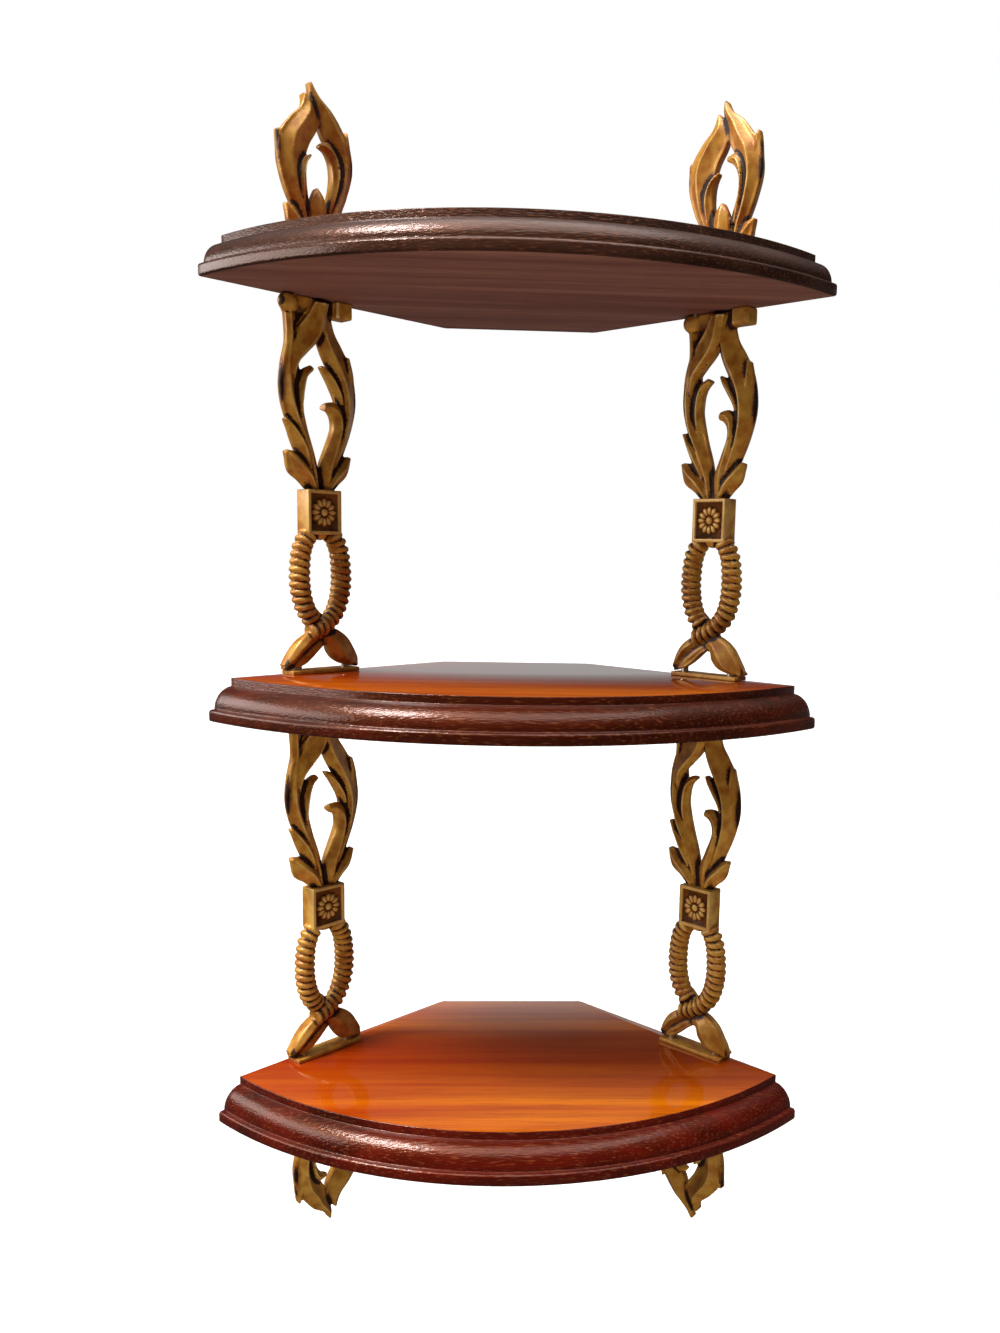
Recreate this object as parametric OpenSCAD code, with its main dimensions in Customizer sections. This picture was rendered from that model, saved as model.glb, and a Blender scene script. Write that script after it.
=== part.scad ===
// Three-tier corner wall shelf: quarter-round wooden shelves held apart by pairs of moulded
// scrollwork posts, with a leaf finial above and below each pair.
// The posts stand flat against the two walls of a room corner. Millimetres, +Z up.
// Origin: under the middle of the unit, level with the tips of the lower finials.

/* [Shelves] */
// Radius of a shelf's lower rim, measured from the room corner
shelf_r = 215.5; // [190:0.5:260]
// Thickness of a shelf
shelf_t = 21; // [19:0.5:26]
// Distance from the room corner to the straight cut across the back of a shelf
corner_cut = 43; // [35:0.5:60]
// Rounding of the two back corners of a shelf, seen from above
cut_round = 5; // [2:0.5:8]
// Clear height between one shelf and the next
shelf_gap = 191; // [180:1:240]

/* [Shelf edge] */
// Height of the flat band at the top of the moulded edge
top_band = 4.5; // [3:0.1:5]
// Ledge between the top band and the quarter round
top_ledge = 1; // [0.4:0.1:2]
// How far the quarter round swells outwards
round_out = 9.5; // [6:0.5:10]
// Ledge between the quarter round and the bottom band
bottom_ledge = 2.2; // [1:0.1:3]
// Height of the band at the bottom of the moulded edge
bottom_band = 4.5; // [3.5:0.1:6]
// Rounding of the lowest edge
rim_round = 1.5; // [0.5:0.1:2.5]

/* [Posts] */
// Distance along the wall from a shelf's lower rim in to the middle of a post
post_in = 63.5; // [55:0.5:85]
// Overall width of the scrollwork
scroll_w = 47; // [40:0.5:52]
// Depth of the scrollwork in front of the wall
scroll_d = 10.5; // [9:0.5:12]
// Width over the two leaf feet
feet_w = 45; // [40:0.5:50]
// Width of the square block with the flower
block_w = 19.5; // [18:0.5:24]
// Height of the block
block_h = 21.5; // [21:0.5:26]
// Depth of the block in front of the wall
block_d = 10.5; // [10:0.5:13]
// Height from the shelf to the underside of the block
block_up = 74; // [66:1:90]
// Length of the plate that a post stands on
foot_l = 42; // [38:0.5:50]
// Thickness of that plate
foot_t = 2.5; // [2:0.5:5]
// Length of the bar at the top of a post and at the root of a finial
bar_l = 38; // [37:0.5:50]
// Depth of the plate and of the bars, out from the wall
bar_d = 11.5; // [10.5:0.5:16]
// Thickness of the bars
bar_t = 8.5; // [8:0.5:12]

/* [Flower] */
// Number of petals
petals = 12; // [8:1:14]
// Radius of the flower
flower_r = 7.1; // [5:0.1:7.5]
// Width of the raised frame round the flower
frame_w = 1.9; // [1:0.1:2.5]
// Depth of the sunk field behind the flower
field_d = 1.5; // [1:0.1:2]

/* [Rope arms] */
// Number of ribs on each rope arm
ribs = 12; // [6:1:14]
// Half the width of a rope arm at a rib
rope_r = 5.3; // [4:0.1:6.5]
// Depth of the groove between two ribs
rib_groove = 1.1; // [0.4:0.1:1.6]

/* [Finials] */
// Height of a finial
finial_h = 82; // [70:1:110]

/* [Fixings] */
// Diameter of the screws and of the pins
pin_d = 4; // [3:0.5:4.5]
// Diameter of a screw's countersunk head
head_d = 7.6; // [7.5:0.1:8.5]
// Height of a screw's countersunk head
head_h = 2.3; // [2:0.1:3]
// How deep a screw or a long pin goes into a post or a finial
bite = 7; // [5:0.5:7.5]
// How deep a short pin goes into the shelf and into the finial
short_bite = 6; // [4:0.5:7]
// Distance from the middle of a post to each screw or long pin
screw_side = 15; // [13.5:0.5:15.5]
// Distance from the middle of a finial to each short pin
pin_side = 8; // [6:0.5:9]
// Distance of every fixing from the wall
fixing_out = 6; // [5.5:0.1:7]
// Gap round a screw or pin in a moulded piece
pin_gap = 0.05; // [0.02:0.01:0.1]
// Gap round a screw or pin in a shelf
shelf_pin_gap = 0.15; // [0.05:0.01:0.3]
// Gap left beyond the end of a screw or pin
end_gap = 0.3; // [0.1:0.1:0.6]

/* [Keyhole] */
// Diameter of the round entry in the back of each block
key_d = 9; // [7:0.5:9]
// Width of the slot above the entry
key_slot = 4.6; // [3:0.1:4.8]
// Rise from the entry to the end of the slot
key_rise = 8; // [6:0.5:8.5]
// Thickness of the lip that the screw head hooks behind
key_lip = 2.5; // [2:0.5:3]
// Depth of the pocket behind the lip
key_pocket = 4.5; // [3.5:0.5:4.5]
// Extra width of the pocket on each side of the entry
key_wider = 0.7; // [0.3:0.1:1]

/* [Hidden] */
$fn = 72;

// A cut goes this far past the face that it opens
past = 1;
// A moulded form is let this far into the block, bar or plate that it joins
sink = 2;
// The scrollwork's back stands this far in front of the wall
back_gap = 0.5;
// The sides of a leaf slope in by this much on their way back to the wall
tuck = 2;
// The back of a spur's tip and of a small leaf's tip stands this much further out than its root
spur_lift = 2;
leaf_lift = 3;
// Which side of the room corner
left = -1;
right = 1;

// Levels
bottom_z = finial_h;
middle_z = bottom_z + shelf_t + shelf_gap;
top_z = middle_z + shelf_t + shelf_gap;
block_top = block_up + block_h;
bar_up = shelf_gap - bar_t;
// The room corner lies behind the middle of the unit
corner_y = (shelf_r + corner_cut) / 2;
// Distance along the wall from the room corner to the middle of a post
post_place = shelf_r - post_in;
// Radius of the shelf's top face
shelf_top_r = shelf_r - top_ledge - round_out - bottom_ledge;
// The quarter round is an arc whose lower end stands upright
round_down = shelf_t - top_band - bottom_band;
round_r = (round_out * round_out + round_down * round_down) / (2 * round_out);
round_x = shelf_r - bottom_ledge - round_r;
// Length of a screw, and of a long pin that runs through a shelf into both posts
screw_l = shelf_t + bite;
long_pin_l = shelf_t + 2 * bite;
wood = "#8c3416";
gilt = "#a5762f";
steel = "#b5b2a8";

// A point on a smooth curve through the points of a list, with t from 0 to 1
function pick(list, i) = list[max(0, min(len(list) - 1, i))];
function curve(list, t) =
    let (i = min(floor(t * (len(list) - 1)), len(list) - 2), f = t * (len(list) - 1) - i)
    let (a = pick(list, i - 1), b = pick(list, i), c = pick(list, i + 1), d = pick(list, i + 2))
    b + (c - a) * f / 2 + (2 * a - 5 * b + 4 * c - d) * f * f / 2
        + (3 * b - a - 3 * c + d) * f * f * f / 2;
function mix(a, b, t) = a + (b - a) * t;
function flip(list) = [for (p = list) [-p[0], p[1]]];

// Triangles of a closed tube: rings of points, counted from the root, with flat ends
function tube_faces(rings, sides) = concat(
    [[for (k = [0 : sides - 1]) k]],
    [[for (k = [sides - 1 : -1 : 0]) (rings - 1) * sides + k]],
    [for (r = [0 : rings - 2], k = [0 : sides - 1])
        let (n = (k + 1) % sides) [r * sides + k, (r + 1) * sides + k, (r + 1) * sides + n]],
    [for (r = [0 : rings - 2], k = [0 : sides - 1])
        let (n = (k + 1) % sides) [r * sides + k, (r + 1) * sides + n, r * sides + n]]);

// A carved leaf between two edges, each listed from the root to the tip: a flat back, sides
// that slope outwards from it, and a front that rises in a hollow curve to a ridge along the
// middle. rim and ridge are the depths of the sides and of the ridge, from the root to the tip,
// and the back lifts off the wall towards the tip.
module leaf(left_edge, right_edge, rim, ridge, steps = 8, lift = 0) {
    sides = 7;
    points = [for (s = [0 : steps])
        let (t = s / steps, a = curve(left_edge, t), b = curve(right_edge, t))
        let (e = curve(rim, t), r = curve(ridge, t), h = mix(e, r, 0.4))
        let (in = min(0.3, tuck / norm(b - a)), back = back_gap + lift * t * t)
        each [[mix(a[0], b[0], in), -back, mix(a[1], b[1], in)], [a[0], -e, a[1]],
            [mix(a[0], b[0], 0.28), -h, mix(a[1], b[1], 0.28)],
            [mix(a[0], b[0], 0.5), -r, mix(a[1], b[1], 0.5)],
            [mix(a[0], b[0], 0.72), -h, mix(a[1], b[1], 0.72)],
            [b[0], -e, b[1]], [mix(b[0], a[0], in), -back, mix(b[1], a[1], in)]]];
    polyhedron(points, tube_faces(steps + 1, sides));
}

// A rope arm: a round bar along a curve, swelling at each rib
module rope(line, out) {
    sides = 8;
    steps = 2 * ribs;
    points = [for (s = [0 : steps])
        let (t = s / steps, c = curve(line, t))
        let (d = curve(line, min(t + 0.02, 1)) - curve(line, max(t - 0.02, 0)))
        let (n = [d[1], -d[0]] / norm(d), r = rope_r - (s % 2 == 0 ? rib_groove : 0))
        for (k = [0 : sides - 1]) let (a = 360 * (k + 0.5) / sides)
            [c[0] + n[0] * r * cos(a), -out + r * 0.86 * sin(a), c[1] + n[1] * r * cos(a)]];
    polyhedron(points, tube_faces(steps + 1, sides));
}

// The upper scrollwork of a post, from inside the block up into the bar: two leafy arms that
// bulge apart and cross at the top, with spurs and small leaves
module loop_drawn() {
    // Left arm, up to the left end of the bar
    leaf([[-5, -2], [-8, 12], [-14, 27], [-21, 40], [-24, 53], [-22.5, 68], [-19.5, 79], [-20, 90.5]],
        [[1, -2], [0, 10], [-2.5, 23], [-6.5, 36], [-8, 48], [-9, 62], [-12, 76], [-13, 90.5]],
        [5, 5, 5.5, 5, 6], [8, 9, 10, 8, 8], steps = 12);
    // Leaf that leaves the left arm and leans over the middle, in front of the right arm
    leaf([[-17, 34], [-19, 47], [-18.5, 59], [-15.5, 70], [-11, 80], [-6.5, 90.5]],
        [[-7.5, 36], [-8, 48], [-5, 60], [-0.5, 70], [2.5, 80], [3.8, 90.5]],
        [4, 6.5, 7, 7, 7], [5, 9.5, 10.5, 10, 9], steps = 9);
    // Spur on the inner side of the left arm
    leaf([[-14, 38], [-13.5, 50], [-9, 61], [-3, 66]],
        [[-7.5, 40], [-7.7, 52], [-6, 60], [-2.4, 65]], [4, 5, 5, 5], [5, 7.5, 7, 5.5], steps = 5,
        lift = spur_lift);
    // Right arm, leaning in behind that leaf
    leaf([[1, -2], [3, 10], [7, 22], [12, 34], [13.5, 46], [11, 56], [5.5, 65], [1, 74], [-1.5, 82],
            [-2.5, 90.5]],
        [[6, -2], [10, 8], [16, 20], [22, 33], [24.8, 46], [23.6, 58], [19.5, 69], [14.5, 77],
            [10, 84.5], [8, 90.5]],
        [5, 5, 5, 5, 5], [8, 9.5, 9.5, 9, 8], steps = 12);
    // Spur on the outer side of the right arm
    leaf([[15, 54], [14.5, 64], [16.6, 72.8]], [[23.5, 52], [21.5, 62], [17.6, 72.6]],
        [4, 5, 5], [5, 7.5, 5.5], steps = 4, lift = spur_lift);
    // Upper spur on the inner side of the right arm
    leaf([[12, 40], [9.6, 50], [4.6, 58], [2, 64]], [[18, 42], [16, 54], [9, 62], [2.4, 64.8]],
        [5, 6, 5, 5], [6, 8.5, 7.5, 6], steps = 6, lift = spur_lift);
    // Lower spur, a stem that curls over
    leaf([[2, 0], [3, 18], [7.2, 28], [8.2, 35], [6.8, 40], [3.8, 42.4]],
        [[8, 0], [10.4, 18], [14.4, 30], [14.4, 40], [10.5, 46.8], [4.2, 44.2]],
        [5, 5.5, 6, 6, 6], [7, 10, 10.5, 9.5, 7], steps = 8, lift = spur_lift);
    // Small leaf at the foot of the right arm
    leaf([[3.5, 3], [8, 13], [14.5, 20.4], [20.2, 20]], [[7, -1], [12, 5], [18.5, 10.5], [20.9, 19.2]],
        [6, 6, 6, 6], [9, 10.2, 9, 7], steps = 6, lift = leaf_lift);
    // Two small leaves at the foot of the left arm
    leaf([[-9, 11], [-15.4, 21.5], [-19.2, 29], [-22, 36.4]], [[-3, 8], [-6, 21], [-12, 31.5], [-21.4, 37.4]],
        [6, 6, 6, 6], [8, 10, 9, 6.5], steps = 6, lift = leaf_lift);
    leaf([[-6, -1], [-13, 5.2], [-19.8, 10.6], [-21, 20.4]], [[-0.5, 2], [-4, 13], [-11, 20], [-20.3, 21.2]],
        [6, 6, 6, 6], [9, 10.2, 9, 7], steps = 6, lift = leaf_lift);
    // Filling between the roots, where the arms and leaves grow out of the block
    leaf([[-8, -2], [-6, 5], [-2, 17]], [[8, -2], [6, 5], [1.5, 17]], [6, 6, 5], [8, 8, 6], steps = 4);
}

// The lower scrollwork of a post, from the plate up into the block: two rope arms round an oval
// opening, smooth bands where they cross, and two leaf feet
module rope_drawn() {
    arm = [[6.2, 74], [10.6, 66.5], [13.2, 55.5], [13.4, 44.5], [11, 34.5], [6.2, 26.5], [1.2, 21.5]];
    rope(arm, rope_r - 0.6);
    rope(flip(arm), rope_r - 0.6);
    // Band over the crossing
    leaf([[7.5, 26.5], [4, 19], [-1, 12.5]], [[0.5, 30], [-4.5, 24.5], [-8, 16]],
        [8.6, 9.6, 8], [10, 11.5, 9.6], steps = 4);
    leaf([[-3, 31], [2.5, 26], [6.5, 19]], [[-8, 24], [-4, 17], [1.5, 12]],
        [6, 7, 6], [7.4, 8.2, 7], steps = 4);
    // Left and right foot
    foot_top = [[3, 22.5], [9.5, 20.8], [15.8, 16], [20.2, 9.6], [22.5, 3.6]];
    foot_under = [[-2, 16], [2.6, 11], [6, 6], [12.5, 2.6], [22.3, 0.9]];
    leaf(foot_top, foot_under, [6.5, 8, 8, 7, 5], [8.5, 10.5, 11, 10, 6.5], steps = 8);
    leaf([[-4, 16.5], [-3.4, 11], [-8, 7], [-13.5, 3.4], [-22.3, 0.9]], flip(foot_top),
        [6.5, 8, 8, 7, 5], [8.5, 10.5, 11, 10, 6.5], steps = 8);
}

// The scrollwork of a finial, drawn from the bar's face at height 0 to the tip
module finial_drawn() {
    // Left and right arm
    leaf([[-9, 0], [-12.5, 16], [-19, 29], [-22.7, 42], [-21.6, 53], [-15.5, 62], [-9, 68.6], [-6.4, 75.8]],
        [[-2.5, 0], [-4, 16], [-6.6, 29], [-7, 42], [-4.5, 51], [0.6, 60], [0.4, 68.5], [-5.6, 76]],
        [5, 6, 6, 6, 4.5], [8, 9, 9.5, 9.5, 5.5], steps = 11);
    leaf([[2.5, 0], [4.5, 16], [8.2, 29], [9.4, 41], [7, 51], [2.4, 59], [-0.6, 68], [-3, 76],
            [-3.1, 81.8]],
        [[9, 0], [12.5, 16], [18.5, 31], [21.8, 44], [20, 56], [14.6, 64.4], [9.4, 70.6],
            [2.6, 75.8], [-2, 82]],
        [5, 6, 6, 5, 4], [8, 10, 10.5, 8.5, 5], steps = 12);
    // Spurs on the outer sides
    leaf([[-20.5, 36], [-22.9, 46], [-23, 54]], [[-15, 38], [-16, 50], [-21.8, 55]],
        [4, 5, 5], [5, 7, 5.5], steps = 4, lift = spur_lift);
    leaf([[13, 44], [15, 56], [18.2, 63.4]], [[21.6, 44], [21, 55], [19.2, 63]],
        [4, 5, 5], [5, 7, 5.5], steps = 4, lift = spur_lift);
    // Spur and curl on the inner sides
    leaf([[-12.5, 20], [-13, 33], [-9, 42.5], [-4, 47]], [[-4.8, 20], [-6.8, 33], [-6.4, 41], [-3.4, 46]],
        [6, 6.5, 6, 6], [8, 9.8, 9, 6.5], steps = 6, lift = leaf_lift);
    leaf([[3.6, 20], [8.4, 34], [8.3, 43], [5.4, 48.4], [1, 51]],
        [[10, 20], [13, 36], [12.4, 47], [8, 54], [1.4, 53.4]],
        [6, 6, 6, 6, 6], [8, 9.8, 9.8, 8, 6.5], steps = 7, lift = leaf_lift);
    // Bud in the middle and a small leaf on each side
    leaf([[-3.5, 0], [-5, 12], [-4.8, 25], [-1.2, 31.2]], [[3.5, 0], [4.5, 12], [3.8, 25], [-0.2, 31.2]],
        [6, 7, 7, 6], [8, 10.4, 9.6, 6.5], steps = 6, lift = leaf_lift);
    side_top = [[4, 0], [7, 12], [11.5, 18], [18.2, 21]];
    side_under = [[10, 0], [14.5, 6], [18, 12.5], [19.2, 20.2]];
    leaf(side_top, side_under, [6, 6, 6, 6], [8, 9.6, 9, 6.5], steps = 6, lift = leaf_lift);
    leaf(flip(side_under), flip(side_top), [6, 6, 6, 6], [8, 9.6, 9, 6.5], steps = 6, lift = leaf_lift);
}

// Puts a form against the wall on one side of the room corner: its X runs along the wall to
// the viewer's right, its Y runs into the wall.
module on_wall(side, z) {
    translate([side * post_place * cos(45), corner_y - post_place * sin(45), z])
        rotate([0, 0, -45 * side])
            children();
}

module at_both(x) {
    for (s = [left, right])
        translate([s * x, -fixing_out, 0])
            children();
}

// A bar or plate against the wall with its front corners rounded
module wall_bar(l, t) {
    r = bar_d / 3;
    linear_extrude(t) {
        translate([-l / 2, r - bar_d])
            square([l, bar_d - r]);
        translate([r - l / 2, -bar_d])
            square([l - 2 * r, bar_d]);
        for (s = [left, right])
            translate([s * (l / 2 - r), r - bar_d])
                circle(r = r);
    }
}

// A drilled hole for a screw or pin, opening at z = 0 and running upwards
module drilled(depth) {
    translate([0, 0, -past])
        cylinder(d = pin_d + 2 * pin_gap, h = depth + end_gap + past);
}

// Keyhole opened from the wall side: a round entry, a slot above it for the screw's shank, and
// behind the lip a pocket for its head
module keyhole() {
    ends = [-key_rise / 2, key_rise / 2];
    pocket_r = key_d / 2 + key_wider;
    rotate([90, 0, 0]) {
        translate([0, ends[0], -past])
            cylinder(d = key_d, h = key_lip + 2 * past);
        translate([0, ends[1], -past])
            cylinder(d = key_slot, h = key_lip + 2 * past);
        translate([-key_slot / 2, ends[0], -past])
            cube([key_slot, key_rise, key_lip + 2 * past]);
        translate([0, 0, key_lip])
            linear_extrude(key_pocket) {
                for (z = ends)
                    translate([0, z])
                        circle(r = pocket_r);
                translate([-pocket_r, ends[0]])
                    square([2 * pocket_r, key_rise]);
            }
    }
}

// One petal of the flower, standing on the sunk field
module petal() {
    w = flower_r * 2.2 / petals;
    linear_extrude(field_d * 0.8)
        polygon([[flower_r * 0.2, -w / 4], [flower_r * 0.75, -w], [flower_r, -w / 2],
            [flower_r, w / 2], [flower_r * 0.75, w], [flower_r * 0.2, w / 4]]);
}

// The block with its raised frame and flower, centred on its own middle height
module flower_block() {
    field_w = block_w - 2 * frame_w;
    field_h = block_h - 2 * frame_w;
    root = 0.2;
    difference() {
        translate([-block_w / 2, -block_d, -block_h / 2])
            cube([block_w, block_d, block_h]);
        translate([-field_w / 2, -block_d - past, -field_h / 2])
            cube([field_w, field_d + past, field_h]);
    }
    translate([0, field_d + root - block_d, 0])
        rotate([90, 0, 0]) {
            for (k = [0 : petals - 1])
                rotate([0, 0, k * 360 / petals])
                    petal();
            cylinder(r = flower_r * 0.28, h = field_d);
        }
}

// One moulded post, standing on z = 0 with its back against the wall
module post() {
    boss_r = pin_d * 0.85;
    boss_h = bite + end_gap + 1.5;
    block_mid = block_up + block_h / 2;
    loop_h = bar_up - block_top + 2 * sink;
    rope_low = foot_t / 2;
    difference() {
        union() {
            wall_bar(foot_l, foot_t);
            at_both(screw_side)
                cylinder(r = boss_r, h = boss_h);
            translate([0, 0, bar_up])
                wall_bar(bar_l, bar_t);
            translate([0, 0, block_mid])
                flower_block();
            translate([0, 0, block_top - sink])
                resize([scroll_w, scroll_d - back_gap, loop_h])
                    loop_drawn();
            translate([0, 0, rope_low])
                resize([feet_w, 0, block_up + sink - rope_low])
                    rope_drawn();
        }
        at_both(screw_side)
            drilled(bite);
        translate([0, 0, shelf_gap])
            mirror([0, 0, 1])
                at_both(screw_side)
                    drilled(bite);
        translate([0, 0, block_mid])
            keyhole();
    }
}

// One moulded finial, standing on z = 0 with its back against the wall
module finial() {
    low = 1;
    difference() {
        union() {
            wall_bar(bar_l, bar_t);
            translate([0, 0, low])
                resize([0, scroll_d - back_gap, finial_h - low])
                    finial_drawn();
        }
        at_both(pin_side)
            drilled(short_bite);
    }
}

// The moulded edge in section: distance from the room corner across, height up
module shelf_section() {
    square([shelf_top_r, shelf_t]);
    square([shelf_r - rim_round, bottom_band]);
    translate([0, rim_round])
        square([shelf_r, bottom_band - rim_round]);
    translate([shelf_r - rim_round, rim_round])
        circle(r = rim_round);
    intersection() {
        translate([round_x, bottom_band])
            circle(r = round_r);
        translate([0, bottom_band - rim_round])
            square([shelf_r, round_down + rim_round]);
    }
}

// What rounds off the corner between the straight cut and the right-hand wall edge
module cut_corner() {
    r = cut_round;
    middle = 67.5;
    point = [corner_cut, -corner_cut];
    centre = point - r / cos(22.5) * [cos(middle), sin(middle)];
    translate([0, 0, -past])
        linear_extrude(shelf_t + 2 * past)
            translate(centre)
                difference() {
                    polygon([[0, 0], [0, r + past],
                        (r + past) / cos(22.5) * [cos(middle), sin(middle)],
                        (r + past) * [cos(45), sin(45)]]);
                    circle(r = r);
                }
}

// A shelf without its holes, with its underside at z = 0
module shelf_blank() {
    translate([0, corner_y, 0])
        difference() {
            rotate([0, 0, 225])
                rotate_extrude(angle = 90)
                    shelf_section();
            translate([-shelf_r, -corner_cut, -past])
                cube([2 * shelf_r, shelf_r, shelf_t + 2 * past]);
            cut_corner();
            mirror([1, 0, 0])
                cut_corner();
        }
}

// Holes of an outer shelf, cut from its outer face at z = 0 downwards: a countersunk screw
// hole through the shelf and a blind hole for each short pin
module outer_holes() {
    r = pin_d / 2 + shelf_pin_gap;
    for (side = [left, right])
        on_wall(side, 0) {
            at_both(screw_side) {
                translate([0, 0, -shelf_t - past])
                    cylinder(r = r, h = shelf_t + 2 * past);
                translate([0, 0, -head_h])
                    cylinder(r1 = r, r2 = head_d / 2 + shelf_pin_gap, h = head_h);
            }
            at_both(pin_side)
                translate([0, 0, -short_bite - end_gap])
                    cylinder(r = r, h = short_bite + end_gap + past);
        }
}

// A countersunk wood screw, its head's face at z = 0 and its point down
module screw() {
    point = pin_d / 2;
    slot = 0.9;
    difference() {
        union() {
            translate([0, 0, -head_h])
                cylinder(d1 = pin_d, d2 = head_d, h = head_h);
            translate([0, 0, point - screw_l])
                cylinder(d = pin_d, h = screw_l - point - head_h / 2);
            translate([0, 0, -screw_l])
                cylinder(d1 = pin_d / 4, d2 = pin_d, h = point);
        }
        for (turn = [0, 90])
            rotate([0, 0, turn])
                translate([-head_d / 4, -slot / 2, -head_h / 2])
                    cube([head_d / 2, slot, head_h]);
    }
}

// A steel pin with chamfered ends, centred on z = 0
module pin(l) {
    chamfer = 0.4;
    cylinder(d = pin_d, h = l - 2 * chamfer, center = true);
    for (turn = [0, 180])
        rotate([turn, 0, 0])
            translate([0, 0, l / 2 - chamfer])
                cylinder(d1 = pin_d, d2 = pin_d - 2 * chamfer, h = chamfer);
}

module screws(side, face_z, up) {
    color(steel)
        on_wall(side, face_z)
            at_both(screw_side)
                mirror([0, 0, up ? 0 : 1])
                    screw();
}

module short_pins(side, face_z) {
    color(steel)
        on_wall(side, face_z)
            at_both(pin_side)
                pin(2 * short_bite);
}

module shelf_top() {
    color(wood)
        translate([0, 0, top_z])
            difference() {
                shelf_blank();
                translate([0, 0, shelf_t])
                    outer_holes();
            }
}

module shelf_middle() {
    color(wood)
        translate([0, 0, middle_z])
            difference() {
                shelf_blank();
                for (side = [left, right])
                    on_wall(side, -past)
                        at_both(screw_side)
                            cylinder(r = pin_d / 2 + shelf_pin_gap, h = shelf_t + 2 * past);
            }
}

module shelf_bottom() {
    color(wood)
        translate([0, 0, bottom_z])
            difference() {
                shelf_blank();
                mirror([0, 0, 1])
                    outer_holes();
            }
}

module placed_post(side, shelf_z) {
    color(gilt)
        on_wall(side, shelf_z + shelf_t)
            post();
}

module placed_finial(side, face_z, turn) {
    color(gilt)
        on_wall(side, face_z)
            rotate([0, turn, 0])
                finial();
}

module long_pins(side) {
    color(steel)
        on_wall(side, middle_z + shelf_t / 2)
            at_both(screw_side)
                pin(long_pin_l);
}

module post_upper_left() placed_post(left, middle_z);
module post_upper_right() placed_post(right, middle_z);
module post_lower_left() placed_post(left, bottom_z);
module post_lower_right() placed_post(right, bottom_z);
module finial_top_left() placed_finial(left, top_z + shelf_t, 0);
module finial_top_right() placed_finial(right, top_z + shelf_t, 0);
module finial_bottom_left() placed_finial(left, bottom_z, 180);
module finial_bottom_right() placed_finial(right, bottom_z, 180);
module screws_top_left() screws(left, top_z + shelf_t, true);
module screws_top_right() screws(right, top_z + shelf_t, true);
module screws_bottom_left() screws(left, bottom_z, false);
module screws_bottom_right() screws(right, bottom_z, false);
module pins_middle_left() long_pins(left);
module pins_middle_right() long_pins(right);
module pins_top_left() short_pins(left, top_z + shelf_t);
module pins_top_right() short_pins(right, top_z + shelf_t);
module pins_bottom_left() short_pins(left, bottom_z);
module pins_bottom_right() short_pins(right, bottom_z);

shelf_top();
shelf_middle();
shelf_bottom();
post_upper_left();
post_upper_right();
post_lower_left();
post_lower_right();
finial_top_left();
finial_top_right();
finial_bottom_left();
finial_bottom_right();
screws_top_left();
screws_top_right();
screws_bottom_left();
screws_bottom_right();
pins_middle_left();
pins_middle_right();
pins_top_left();
pins_top_right();
pins_bottom_left();
pins_bottom_right();
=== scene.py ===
# %% [markdown]
# # A corner shelf of mahogany boards and gilt mouldings
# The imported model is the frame: it fixes where each board, post and finial goes, and how large
# it is. This lesson makes the looks around it: boards with a routed edge, scrollwork carved in
# the round, old gold paint and varnished wood. The frame comes first, and its box is kept, so
# that the finished model can be measured against it.

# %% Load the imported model
import math

import bmesh
import bpy
import numpy as np
from mathutils import Matrix, Vector


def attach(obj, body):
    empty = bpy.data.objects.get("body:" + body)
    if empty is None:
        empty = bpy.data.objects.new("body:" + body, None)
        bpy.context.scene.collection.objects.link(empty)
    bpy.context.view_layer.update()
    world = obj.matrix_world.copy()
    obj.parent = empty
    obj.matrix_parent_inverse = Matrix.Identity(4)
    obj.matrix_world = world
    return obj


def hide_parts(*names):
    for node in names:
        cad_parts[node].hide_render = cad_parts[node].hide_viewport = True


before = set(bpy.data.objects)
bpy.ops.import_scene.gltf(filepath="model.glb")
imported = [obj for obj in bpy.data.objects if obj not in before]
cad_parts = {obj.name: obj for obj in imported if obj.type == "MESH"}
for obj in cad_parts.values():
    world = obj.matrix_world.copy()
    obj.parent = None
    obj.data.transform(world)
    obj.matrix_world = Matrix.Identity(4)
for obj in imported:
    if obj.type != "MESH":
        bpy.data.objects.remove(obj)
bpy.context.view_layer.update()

# %% [markdown]
# ## Sizes
# Everything is written in millimetres, as on a workshop drawing, and turned to metres once, when
# a mesh is placed. The values are the same as in the part's own source. The two walls of the room
# meet at a corner behind the shelves, and every distance along a wall starts there.

# %% Sizes of the unit in millimetres
MM = 0.001
# A board: radius about the room corner, thickness, and the clear height between two boards
SHELF_R, SHELF_T, SHELF_GAP = 215.5, 21.0, 191.0
# How much of the room corner's end is sawn off, and how far the two new corners are rounded
CORNER_CUT, CUT_ROUND = 43.0, 5.0
CORNER_Y = (SHELF_R + CORNER_CUT) / 2
# From the room corner along a wall to the middle of a post
POST_PLACE = 152.0
FINIAL_H = 82.0
BOTTOM_Z = FINIAL_H
MIDDLE_Z = BOTTOM_Z + SHELF_T + SHELF_GAP
TOP_Z = MIDDLE_Z + SHELF_T + SHELF_GAP
print("shelves at", BOTTOM_Z, MIDDLE_Z, TOP_Z, "mm, room corner at y", CORNER_Y)

# %% [markdown]
# ## From a workbench to the scene
# A bmesh is a workbench mesh: operators shape it, and it is then stored as mesh data. An object
# puts such data in the scene. Each finished object takes the place of one CAD node and rides on
# the unit's one body, since nothing on this shelf moves.

# %% Store, add and show
def store(bench, name, scale=1.0):
    """Keep a bench as mesh data, scaled, and clear the bench."""
    bmesh.ops.scale(bench, vec=(scale,) * 3, verts=bench.verts)
    mesh = bpy.data.meshes.new(name)
    bench.to_mesh(mesh)
    bench.free()
    return mesh


def add(name, data):
    """Put a mesh, a lamp or a camera in the scene."""
    made = bpy.data.objects.new(name, data)
    bpy.context.scene.collection.objects.link(made)
    return made


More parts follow.
